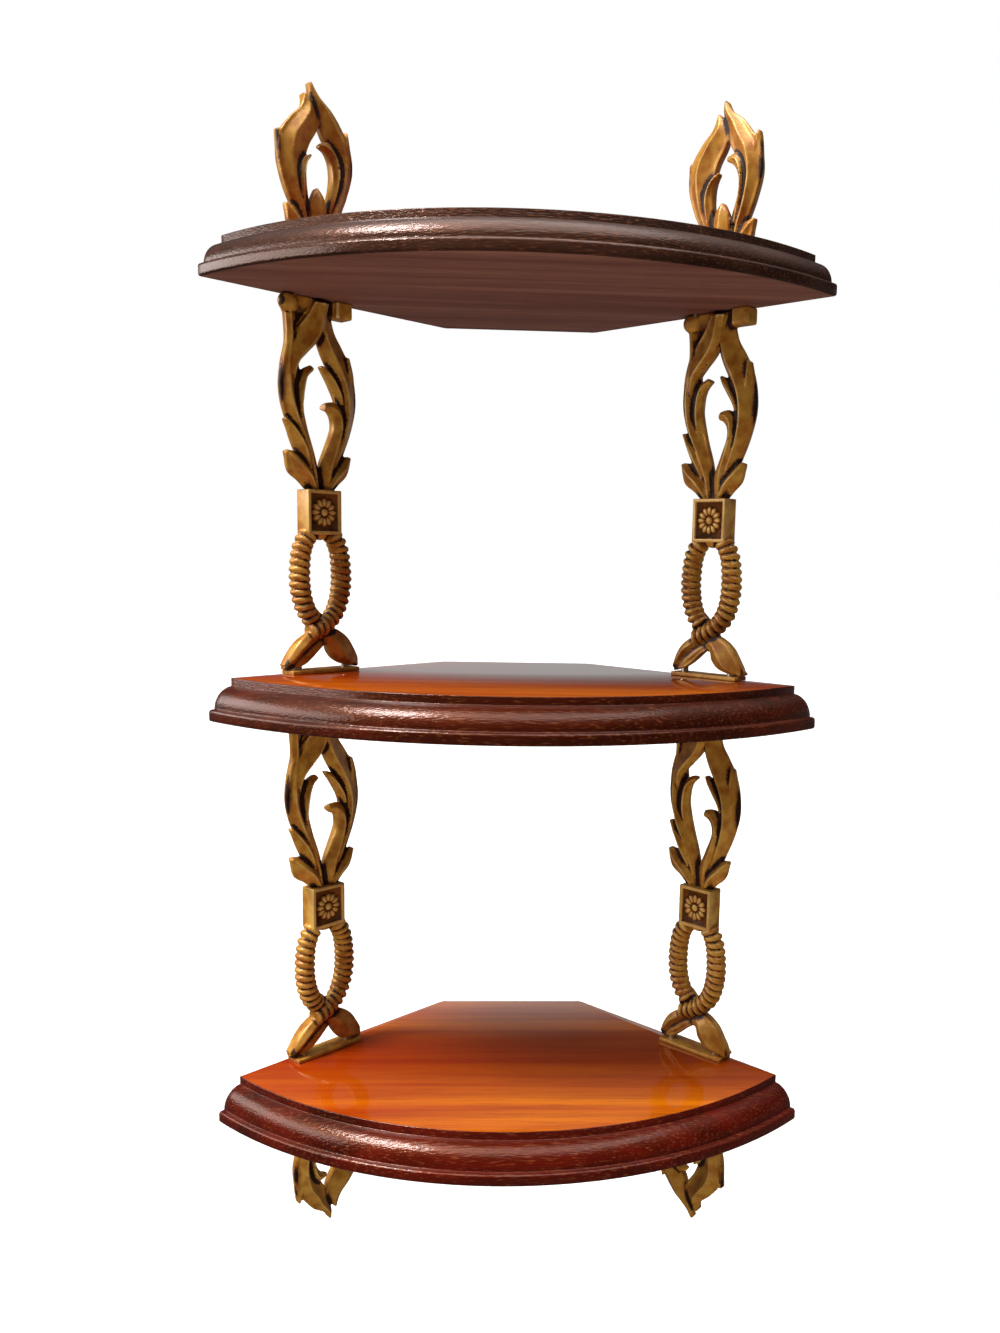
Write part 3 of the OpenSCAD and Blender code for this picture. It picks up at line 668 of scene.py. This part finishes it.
# Left foot, outer and inner lobe
leaf(ropes,
    [(-4, 23.4), (-9.8, 21.4), (-15.8, 17.2), (-20, 11.4), (-23, 5)],
    [(-1.6, 18.8), (-7.6, 15.4), (-12.6, 12), (-17, 8.2), (-22.2, 3.8)],
    rim=[7.5, 8, 8, 7.5, 6.5], ridge=[9, 10.6, 11.2, 10.2, 7.6], crest=(0.55, 0.6), hollow=0.7, lip=0.3)
leaf(ropes,
    [(-2.4, 21), (-8, 17), (-13.2, 13.6), (-17.6, 9.4), (-22.6, 3.6)],
    [(3.6, 17), (-3, 12.2), (-8, 7.8), (-13.4, 4.4), (-22.3, 2)],
    rim=[7, 8, 8, 8, 6], ridge=[7.6, 9.4, 9.6, 8.8, 6.6], crest=(0.6, 0.6), hollow=1.0, lip=0.9)
# Right foot, one fat leaf with its crest along the left
leaf(ropes,
    [(-2, 18), (2.4, 14), (3.8, 9.6), (7.6, 5.6), (13.6, 3.4), (22.3, 2)],
    [(4, 24.4), (10, 22), (15.8, 17.6), (20.2, 11), (22.3, 7.4), (22.7, 4.4)],
    rim=[7.5, 8, 8, 7.5, 7], ridge=[9, 11.2, 11.5, 10.6, 8], crest=(0.42, 0.36), hollow=0.9, lip=0.4,
    steps=56)
print("ropes, knot and feet:", len(ropes.faces), "faces")

# %% [markdown]
# ## The flower block
# The straight pieces of a moulding are boxes with their edges rubbed down. On the block between
# arms and ropes an inset draws a square frame, and the field inside it is pushed back. Twelve
# petals and a button make the flower. It is kept apart until the keyhole is cut, because a Boolean
# wants one closed shell, and both stay out of the melting, so they stay crisp.

# %% Boxes, petals and the block
FOOT_L, FOOT_T, BAR_L, BAR_T, BAR_D = 42.0, 2.5, 38.0, 8.5, 11.5
BLOCK_W, BLOCK_H, BLOCK_D, BLOCK_UP = 20.6, 22.8, 10.5, 72.4
BLOCK_MIDDLE = BLOCK_UP + BLOCK_H / 2
BLOCK_SOFT, FRAME_W, FRAME_STEP, FIELD_D = 0.45, 2.0, 0.3, 1.7
PETALS, PETAL_LONG, PETAL_WIDE, PETAL_TALL, BUTTON_R = 12, 2.75, 1.62, 1.65, 2.3


def box(bench, wide, deep, high, low, soft):
    """A box against the wall, from the height low upwards, with softened edges."""
    at = (0, -deep / 2, low + high / 2)
    cube = bmesh.ops.create_cube(bench, size=1, matrix=stretched(at, (wide, deep, high)))["verts"]
    soften(bench, list({e for v in cube for e in v.link_edges}), soft, 3)


def petal(bench, turn):
    """One petal of the flower: a drop that widens outwards."""
    made = bmesh.ops.create_uvsphere(bench, u_segments=12, v_segments=10, radius=1)["verts"]
    for v in made:
        v.co.x *= 1 + 0.35 * v.co.z
    bmesh.ops.transform(bench, verts=made,
        matrix=Matrix.Translation((0, FIELD_D + 0.15 - BLOCK_D, BLOCK_MIDDLE))
            @ Matrix.Rotation(turn, 4, "Y")
            @ stretched((0, 0, BUTTON_R - 0.1 + PETAL_LONG), (PETAL_WIDE, PETAL_TALL, PETAL_LONG)))


block = bmesh.new()
box(block, BLOCK_W, BLOCK_D, BLOCK_H, BLOCK_UP, BLOCK_SOFT)
front = [max(block.faces, key=lambda f: -f.calc_center_median().y)]
bmesh.ops.inset_region(block, faces=front, thickness=FRAME_W - BLOCK_SOFT)
bmesh.ops.inset_region(block, faces=front, thickness=FRAME_STEP, depth=-FRAME_STEP)
bmesh.ops.inset_region(block, faces=front, thickness=0.1, depth=FRAME_STEP - FIELD_D)
flower = bmesh.new()
for k in range(PETALS):
    petal(flower, k * math.tau / PETALS)
pebble(flower, (0, FIELD_D - BLOCK_D, BLOCK_MIDDLE), (BUTTON_R, 1.9, BUTTON_R), 20)
print("block:", len(block.faces), "faces, flower:", len(flower.faces), "faces")

# %% [markdown]
# ## Using modifiers up
# Two of Blender's modifiers, Boolean and Remesh, do more than an operator can. The bench goes into
# a throwaway object, the modifier works on it, and its result comes back as a new bench.

# %% Helpers for modifiers
def scrap(piece):
    """Throw an object and its mesh away."""
    mesh = piece.data
    bpy.data.objects.remove(piece)
    bpy.data.meshes.remove(mesh)


def worked(piece):
    """A bench with an object's shape after its modifiers. The object itself is thrown away."""
    done = piece.evaluated_get(bpy.context.evaluated_depsgraph_get())
    bench = bmesh.new()
    bench.from_mesh(done.to_mesh())
    done.to_mesh_clear()
    scrap(piece)
    return bench


def cut(bench, cutters):
    """Take each cutter away from the bench with a Boolean."""
    for cutter in cutters:
        piece = add("piece", store(bench, "piece"))
        tool = add("tool", store(cutter, "tool"))
        boolean = piece.modifiers.new("cut", "BOOLEAN")
        boolean.operation = "DIFFERENCE"
        boolean.solver = "EXACT"
        boolean.use_self = True
        boolean.object = tool
        bench = worked(piece)
        scrap(tool)
    return bench


# %% [markdown]
# ## The keyholes
# A post hangs on a wall screw. Its head goes in at the round entry, and the post then drops until
# the shank stands in the slot and the head behind the lip. In the workshop a keyhole cutter makes
# this in one pass. Here each part of its path is a solid that a Boolean takes away.

# %% Cut a keyhole into the back of the block
KEY_MIDDLE, KEY_RISE, KEY_D, KEY_SLOT = 84.75, 8.0, 9.0, 4.6
KEY_LIP, KEY_POCKET, KEY_R = 2.5, 4.5, 5.2


def path(radius, near, far, rise):
    """A bar with round ends that a cutter sweeps upwards from the entry, between two depths."""
    bench = bmesh.new()
    low = KEY_MIDDLE - KEY_RISE / 2
    # Half a step of turn leaves an upright side left and right, which the rise makes longer
    bmesh.ops.create_cone(bench, cap_ends=True, segments=48, radius1=radius, radius2=radius,
        depth=far - near, matrix=Matrix.Translation((0, -(near + far) / 2, low))
            @ Matrix.Rotation(math.pi / 2, 4, "X") @ Matrix.Rotation(math.pi / 48, 4, "Z"))
    for v in bench.verts:
        if v.co.z > low:
            v.co.z += rise
    return bench


entry = path(KEY_D / 2, -1, KEY_LIP + 0.5, 0)
slot = path(KEY_SLOT / 2, -1.5, KEY_LIP + 1, KEY_RISE)
pocket = path(KEY_R, KEY_LIP, KEY_LIP + KEY_POCKET, KEY_RISE)
block = cut(block, (entry, slot, pocket))
# A milled hole has sharp edges, so its shading isn't smoothed over them
milled = [e for e in block.edges if max(-v.co.y for v in e.verts) < KEY_LIP + KEY_POCKET + 0.1]
for e in milled:
    e.smooth = e.calc_face_angle(0) < math.radians(40)
print("block with its keyhole:", len(block.faces), "faces, open or doubled edges:",
    sum(not e.is_manifold for e in block.edges))

# %% [markdown]
# ## Finials
# A finial is a smaller bouquet of such leaves: two arms that lean together into a tip, with spurs
# and curls. It stands on the top shelf, and the same moulding hangs under the bottom one.

# %% Carve the arms and spurs of a finial
finial = bmesh.new()
leaf(finial,
    [(-9, 0), (-12.5, 16), (-19, 29), (-22.7, 42), (-21.6, 53), (-15.5, 62), (-9, 68.6), (-6.4, 75.8)],
    [(-2.5, 0), (-4, 16), (-6.6, 29), (-7, 42), (-4.5, 51), (0.6, 60), (0.4, 68.5), (-5.6, 76)],
    rim=[5.5, 6, 6.5, 6.5, 5.5], ridge=[8, 9.5, 10.2, 10, 6.5], crest=(0.5, 0.45, 0.4, 0.5), steps=100)
leaf(finial,
    [(2.5, 0), (4.5, 16), (8.2, 29), (9.4, 41), (7, 51), (2.4, 59), (-0.6, 68), (-3, 76), (-3.1, 81.8)],
    [(9, 0), (12.5, 16), (18.5, 31), (21.8, 44), (20, 56), (14.6, 64.4), (9.4, 70.6), (2.6, 75.8),
        (-2, 82)],
    rim=[5.5, 6, 6.5, 6, 5], ridge=[8, 10, 10.8, 9.5, 6], crest=(0.5, 0.5, 0.55, 0.5), steps=110)
# Spurs on the outer sides
SPUR = {"rim": [4.5, 5.5, 6], "ridge": [6, 8, 6.5], "lift": 2, "steps": 32}
leaf(finial, [(-20.5, 36), (-22.9, 46), (-23, 54)], [(-15, 38), (-16, 50), (-21.8, 55)], **SPUR)
leaf(finial, [(13, 44), (15, 56), (18.2, 63.4)], [(21.6, 44), (21, 55), (19.2, 63)], **SPUR)
# Spur and curl on the inner sides
leaf(finial,
    [(-12.5, 20), (-13, 33), (-9, 42.5), (-4, 47)],
    [(-4.8, 20), (-6.8, 33), (-6.4, 41), (-3.4, 46)],
    rim=[6.5, 7, 7, 7], ridge=[8, 10.5, 10, 7.5], lip=0.7, lift=3)
leaf(finial,
    [(3.6, 20), (8.4, 34), (8.3, 43), (5.4, 48.4), (1, 51)],
    [(10, 20), (13, 36), (12.4, 47), (8, 54), (1.4, 53.4)],
    rim=[6.5, 7, 7, 7, 7], ridge=[8, 10.5, 10.8, 9.5, 7.5], lip=0.7, lift=3, steps=56)
print("finial arms and spurs:", len(finial.faces), "faces")

# %% [markdown]
# ## The bud and the bar of a finial
# A blunt bud stands between the arms, with a small leaf on each side of it, and a bar is the foot
# that stands on the shelf. The two small leaves are drawn once and mirrored.

# %% Carve the bud and add the bar
# The leaves are drawn from 0 to 82 mm and then set on the bar, just under the finial's full height
FINIAL_LOW, FINIAL_SCALE = 1.0, 0.988


def flip(points):
    return [(-x, z) for x, z in points]


leaf(finial,
    [(-3.5, 0), (-5, 12), (-4.8, 25), (-1.2, 31.2)],
    [(3.5, 0), (4.5, 12), (3.8, 25), (-0.2, 31.2)],
    rim=[6.5, 7.5, 7.5, 7], ridge=[8, 11, 10.5, 8], hollow=0.9, lift=3, steps=40)
SIDE_LEAF = {"rim": [6.5, 7, 7, 7], "ridge": [8, 10.4, 10, 7.5], "lip": 0.7, "lift": 3, "steps": 40}
side_top = [(4, 0), (7, 12), (11.5, 18), (18.2, 21)]
side_under = [(10, 0), (14.5, 6), (18, 12.5), (19.2, 20.2)]
leaf(finial, side_top, side_under, **SIDE_LEAF)
leaf(finial, flip(side_under), flip(side_top), **SIDE_LEAF)
bmesh.ops.transform(finial, verts=finial.verts, matrix=stretched((0, 0, FINIAL_LOW), (1, 1, FINIAL_SCALE)))
box(finial, BAR_L, BAR_D, BAR_T, 0, 1.2)
print("finial:", len(finial.faces), "faces")

# %% [markdown]
# ## The bar of a post
# The bar under a shelf is recessed in its middle, where the arms run up over it. At the right it
# has an end block that stands further out, and at the left the arm's curl ends in a knob.

# %% Build the bar
CORE_D, END_L, END_D, BAR_SOFT = 6.5, 10, 9.6, 1.0
KNOB_AT, KNOB_R = (-17.8, -5.6, 186.6), (5.4, 4.4, 5)
bar = bmesh.new()
box(bar, BAR_L, CORE_D, BAR_T, SHELF_GAP - BAR_T, BAR_SOFT)
pebble(bar, KNOB_AT, KNOB_R, 28)
end = bmesh.new()
box(end, END_L, END_D, BAR_T, SHELF_GAP - BAR_T, BAR_SOFT)
bmesh.ops.translate(end, vec=((BAR_L - END_L) / 2, 0, 0), verts=end.verts)
print("bar:", len(bar.faces) + len(end.faces), "faces")

# %% [markdown]
# ## Melting the pieces into one casting
# So far the leaves only overlap. A voxel remesh drapes one new skin over all of them, as if they
# had been dipped in plaster, and two rounds of smoothing soften it like old paint. The voxels are
# half a millimetre, fine enough to keep the rims and the ribs.

# %% Melt overlapping pieces
VOXEL, SMOOTHINGS = 0.5, 2


def pour(target, source):
    """Add one bench to another, and clear it."""
    loose = store(source, "loose")
    target.from_mesh(loose)
    bpy.data.meshes.remove(loose)


def melt(bench):
    """One closed skin over everything on the bench, softened."""
    piece = add("blank", store(bench, "blank"))
    dip = piece.modifiers.new("dip", "REMESH")
    dip.mode = "VOXEL"
    dip.voxel_size = VOXEL
    dip.adaptivity = 0
    skin = worked(piece)
    for _ in range(SMOOTHINGS):
        bmesh.ops.smooth_vert(skin, verts=skin.verts, factor=0.5, use_axis_x=True, use_axis_y=True,
            use_axis_z=True)
    return skin


carving = bmesh.new()
for bench in (loop, ropes, bar, end):
    pour(carving, bench)
post = melt(carving)
finial = melt(finial)
print("faces after melting: post", len(post.faces), "finial", len(finial.faces))

# %% [markdown]
# ## Fitting a post between its shelves
# The skin is sawn off flat a hair below the upper shelf, and the crisp block and the thin foot
# plate are added to it.

# %% Saw the post off and add the block and the plate
SEAM = 0.15
PLATE_D, PLATE_T, PLATE_UP, PLATE_SOFT = BAR_D - 0.6, FOOT_T - 0.4, 0.05, 0.4
saw(post, (0, 0, SHELF_GAP - SEAM), (0, 0, 1))
plate = bmesh.new()
box(plate, FOOT_L, PLATE_D, PLATE_T, PLATE_UP, PLATE_SOFT)
for bench in (block, flower, plate):
    pour(post, bench)
print("post:", len(post.faces), "faces, open edges:", sum(e.is_boundary for e in post.edges))

# %% [markdown]
# ## Height maps
# The finish needs to know where paint was wiped off and where it stayed, and where shade and
# highlight are painted. Every point of a casting is entered in a height map seen from the front.
# Raising the map to its highest neighbours and lowering it again fills every hollow that is narrow
# enough, and leaves the rest as it was.

# %% Fill the hollows of a map
CELL = 0.4


def shifted(grid, reach):
    """Every copy of a grid that is shifted by up to reach cells, inside a circle."""
    padded = np.pad(grid, reach, mode="edge")
    rows, columns = grid.shape
    for i in range(-reach, reach + 1):
        for j in range(-reach, reach + 1):
            if i * i + j * j <= reach * reach + 1:
                yield padded[reach + i:reach + i + rows, reach + j:reach + j + columns]


def filled(grid, reach):
    """The grid with every hollow filled that is narrower than twice the reach."""
    raised = np.max(list(shifted(grid, reach)), axis=0)
    return np.min(list(shifted(raised, reach)), axis=0)


print("a groove of one cell is filled to", filled(np.array([[5.0, 5.0, 1.0, 5.0, 5.0]]), 1)[0])

# %% [markdown]
# ## Measuring hollows and crests
# What the filling adds is how deep a hollow is: once for grooves up to 3 mm wide and once for
# hollows up to 7 mm wide. A point's crest is how far it stands above the mean of the points near
# it. Points well under the front lie on the sides or the back, where the paint stayed.

# %% Two measures for every point
NARROW, BROAD, NEAR = 4, 9, 6
# How deep, in millimetres, a narrow and a broad hollow are when their dark is full
NARROW_FULL, BROAD_FULL = 0.6, 3.0
# Paint stays on what lies this far under the front, and the change takes this much
SIDES_FROM, SIDES_OVER = 2.6, 1.4
CREST_FULL = 1.1
# The foot plate is no crest
PLAIN_UP, PLAIN_OVER = 2.6, 2.0


def measure(mesh, flower):
    """Write the attributes hollow and crest, in 0 to 1, on a casting given in millimetres."""
    spots = np.empty(len(mesh.vertices) * 3)
    mesh.vertices.foreach_get("co", spots)
    x, y, z = spots.reshape(-1, 3).T
    column, row = ((x - x.min()) / CELL).astype(int), ((z - z.min()) / CELL).astype(int)
    height = np.zeros((row.max() + 1, column.max() + 1))
    np.maximum.at(height, (row, column), -y)
    # Some cells hold no point, so each takes the highest of its neighbours first
    height = np.max(list(shifted(height, 1)), axis=0)
    narrow, broad = (filled(height, reach) - height for reach in (NARROW, BROAD))
    covered = sum(shifted((height > 0).astype(float), NEAR))
    mean = sum(shifted(height, NEAR)) / np.maximum(covered, 1)
    deep = np.clip(narrow / NARROW_FULL, 0, 1) * 0.7 + np.clip(broad / BROAD_FULL, 0, 1) * 0.6
    under = height[row, column] + y
    deep = np.clip(deep, 0, 1)[row, column] * np.clip((SIDES_FROM - under) / SIDES_OVER, 0, 1)
    proud = np.clip((-y - mean[row, column]) / CREST_FULL, 0, 1)
    proud *= np.clip((z - PLAIN_UP) / PLAIN_OVER, 0, 1)
    if flower:
        # The block has too few points for a map. Its own depths serve: only its sunk field is darkened, as
        # painted shade, and its front faces get a little crest, as rubbed gold and painted highlight.
        up, behind = np.abs(z - BLOCK_MIDDLE), BLOCK_D + y
        on_block = (np.abs(x) < BLOCK_W / 2 + 0.1) & (up < BLOCK_H / 2 + 0.1)
        inside = FRAME_W - 0.2
        sunk = (np.abs(x) < BLOCK_W / 2 - inside) & (up < BLOCK_H / 2 - inside) & (behind < 2.5)
        deep = np.where(on_block, np.where(sunk, np.clip((behind - 0.4) / 1.6, 0, 0.42), 0), deep)
        proud = np.where(on_block, np.where(behind < 0.6, 0.35, 0), proud)
    for name, values in {"hollow": deep, "crest": proud}.items():
        attribute = mesh.attributes.new(name, "FLOAT", "POINT")
        attribute.data.foreach_set("value", values.astype(np.float32))
        print(mesh.name, "mean", name, round(float(values.mean()), 3))


def casting(bench, name, flower=False):
    """Store a casting in millimetres, with smooth faces and its two measures."""
    bmesh.ops.recalc_face_normals(bench, faces=bench.faces)
    for face in bench.faces:
        face.smooth = True
    mesh = store(bench, name)
    measure(mesh, flower)
    return mesh


post_mesh = casting(post, "post_casting", flower=True)
finial_mesh = casting(finial, "finial_casting")

# %% [markdown]
# ## Placing the castings
# One casting is copied to each place. A turn of 45 degrees lays its back against a wall, and for
# the lower finials it is first turned over. The place goes into the mesh, so every object stays
# at the origin like the CAD nodes do.

# %% Place the posts and finials
def place(mesh, name, side, z, over=False):
    """A copy of a casting on one wall: side is -1 for the left wall and 1 for the right."""
    across = POST_PLACE * math.cos(math.pi / 4)
    spot = Matrix.Translation((side * across, CORNER_Y - across, z))
    spot = spot @ Matrix.Rotation(-side * math.pi / 4, 4, "Z")
    if over:
        spot = spot @ Matrix.Rotation(math.pi, 4, "Y")
    copy = mesh.copy()
    copy.name = name
    copy.transform(Matrix.Scale(MM, 4) @ spot)
    show(name + "_casting", copy, name, gold)


for word, side in {"left": -1, "right": 1}.items():
    place(post_mesh, "post_upper_" + word, side, MIDDLE_Z + SHELF_T)
    place(post_mesh, "post_lower_" + word, side, BOTTOM_Z + SHELF_T)
    place(finial_mesh, "finial_top_" + word, side, TOP_Z + SHELF_T)
    place(finial_mesh, "finial_bottom_" + word, side, BOTTOM_Z, over=True)
bpy.data.meshes.remove(post_mesh)
bpy.data.meshes.remove(finial_mesh)

# %% [markdown]
# ## Screws and pins
# The fixings are turned steel with a bright zinc plating. They are hidden once the unit is
# together, and keep their CAD shape. Turning leaves fine rings, drawn about 0.5 mm apart, which
# blur the highlight along the axis.

# %% Zinc-plated steel
def plated_steel():
    material, tree = blank("zinc_plated_steel")
    rings = streaks(tree, node(tree, "TexCoord").outputs["Object"], (40, 40, 2200), {"Detail": 2.0})
    tint = layer(tree, colour("#9d9c96"), rings, 0.0, 1.0, 1.0, "#c9c6ba")
    rough = node(tree, "MapRange", {"Value": rings, "To Min": 0.25, "To Max": 0.42}).outputs[0]
    return surface(material, {"Base Color": tint, "Roughness": rough, "Metallic": 1.0})


steel = plated_steel()
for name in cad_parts:
    if name.startswith(("screws_", "pins_")):
        fixing = bpy.data.objects[name]
        fixing.data.materials.clear()
        fixing.data.materials.append(steel)
        print(name, "is plated steel")

# %% [markdown]
# ## The floor
# The unit hangs at eye height, so the pale paper floor lies 1.2 m below it. The camera sees it as
# plain white, while it throws less light back on the unit. A Light Path node tells the two apart.

# %% A floor of backdrop paper
FLOOR_Z, FLOOR_HALF = -1.2, 40
floor_bench = bmesh.new()
bmesh.ops.create_grid(floor_bench, x_segments=1, y_segments=1, size=FLOOR_HALF,
    matrix=Matrix.Translation((0, 0, FLOOR_Z)))
floor = add("floor", store(floor_bench, "floor"))
paper, net = blank("white_backdrop_paper")
seen = node(net, "LightPath").outputs["Is Camera Ray"]
tone = node(net, "Mix", {0: seen, 6: colour("#3c3a38"), 7: colour("#e6e6e6")},
    data_type="RGBA").outputs[2]
surface(paper, {"Base Color": tone, "Roughness": 0.9, "Specular IOR Level": 0.0})
floor.data.materials.append(paper)
print("floor at", FLOOR_Z, "m")

# %% [markdown]
# ## The room
# The room is white to the camera too. To the varnish it is a grey wall behind the unit, a bright
# ceiling, and little else. The wall shines on the tops of the boards, the ceiling on their edges.

# %% A studio for the reflections
world = bpy.data.worlds.new("studio")
world.use_nodes = True
room = world.node_tree
room.nodes.clear()
look = node(room, "SeparateXYZ", {0: node(room, "TexCoord").outputs["Generated"]}).outputs
wall = node(room, "MapRange", {"Value": look["Z"], "From Max": 0.3, "To Min": 0.4,
    "To Max": 0.0}).outputs[0]
behind = node(room, "MapRange", {"Value": look["Y"], "From Max": 0.6}).outputs[0]
above = node(room, "MapRange", {"Value": look["Z"], "From Min": 0.5, "From Max": 0.95, "To Min": 0.03,
    "To Max": 0.5}).outputs[0]
shade = node(room, "Math", {0: wall, 1: behind, 2: above}, operation="MULTIPLY_ADD").outputs[0]
seen = node(room, "LightPath").outputs["Is Camera Ray"]
strength = node(room, "Mix", {0: seen, 2: shade, 3: 1.0}, data_type="FLOAT").outputs[0]
glow = node(room, "Background", {"Color": colour("#ffffff"), "Strength": strength}).outputs[0]
node(room, "OutputWorld", {"Surface": glow})
bpy.context.scene.world = world
print("room:", len(room.nodes), "nodes")

# %% [markdown]
# ## The lamps
# The light is a plain studio's. A wide soft ceiling light draws a long highlight on each round
# edge, and it is steep enough for each board to shade the back of the one below it. A narrower
# light comes from high on the left, a window stands on the left, and a weak fill opens the
# shadows from below.

# %% Lights
def lamp(name, kind, power, spot, aim, **settings):
    """A lamp at a spot, turned towards its aim."""
    bulb = bpy.data.lights.new(name, kind)
    bulb.energy = power
    for key, value in settings.items():
        setattr(bulb, key, value)
    holder = add(name, bulb)
    turn = (Vector(aim) - Vector(spot)).to_track_quat("-Z", "Y")
    holder.matrix_world = Matrix.Translation(spot) @ turn.to_matrix().to_4x4()
    return holder


middle = Vector((0, 0, 0.3))
lamp("ceiling_light", "SUN", 2.2, middle + Vector((0, -0.3, 1.75)), middle, angle=math.radians(60))
lamp("high_left_light", "SUN", 3.7, middle + Vector((-0.8, -0.5, 1.5)), middle, angle=math.radians(18))
lamp("window", "AREA", 10.0, (-1.1, -0.15, 0.72), middle, shape="RECTANGLE", size=1.2, size_y=0.5)
fill = lamp("low_fill", "AREA", 8.0, (0.1, -1.0, -0.5), middle, shape="RECTANGLE", size=0.8, size_y=0.5)
# The fill stands for light thrown back by the room, which has no shape of its own in a gloss
fill.visible_glossy = False
bpy.context.scene.view_settings.view_transform = "Standard"
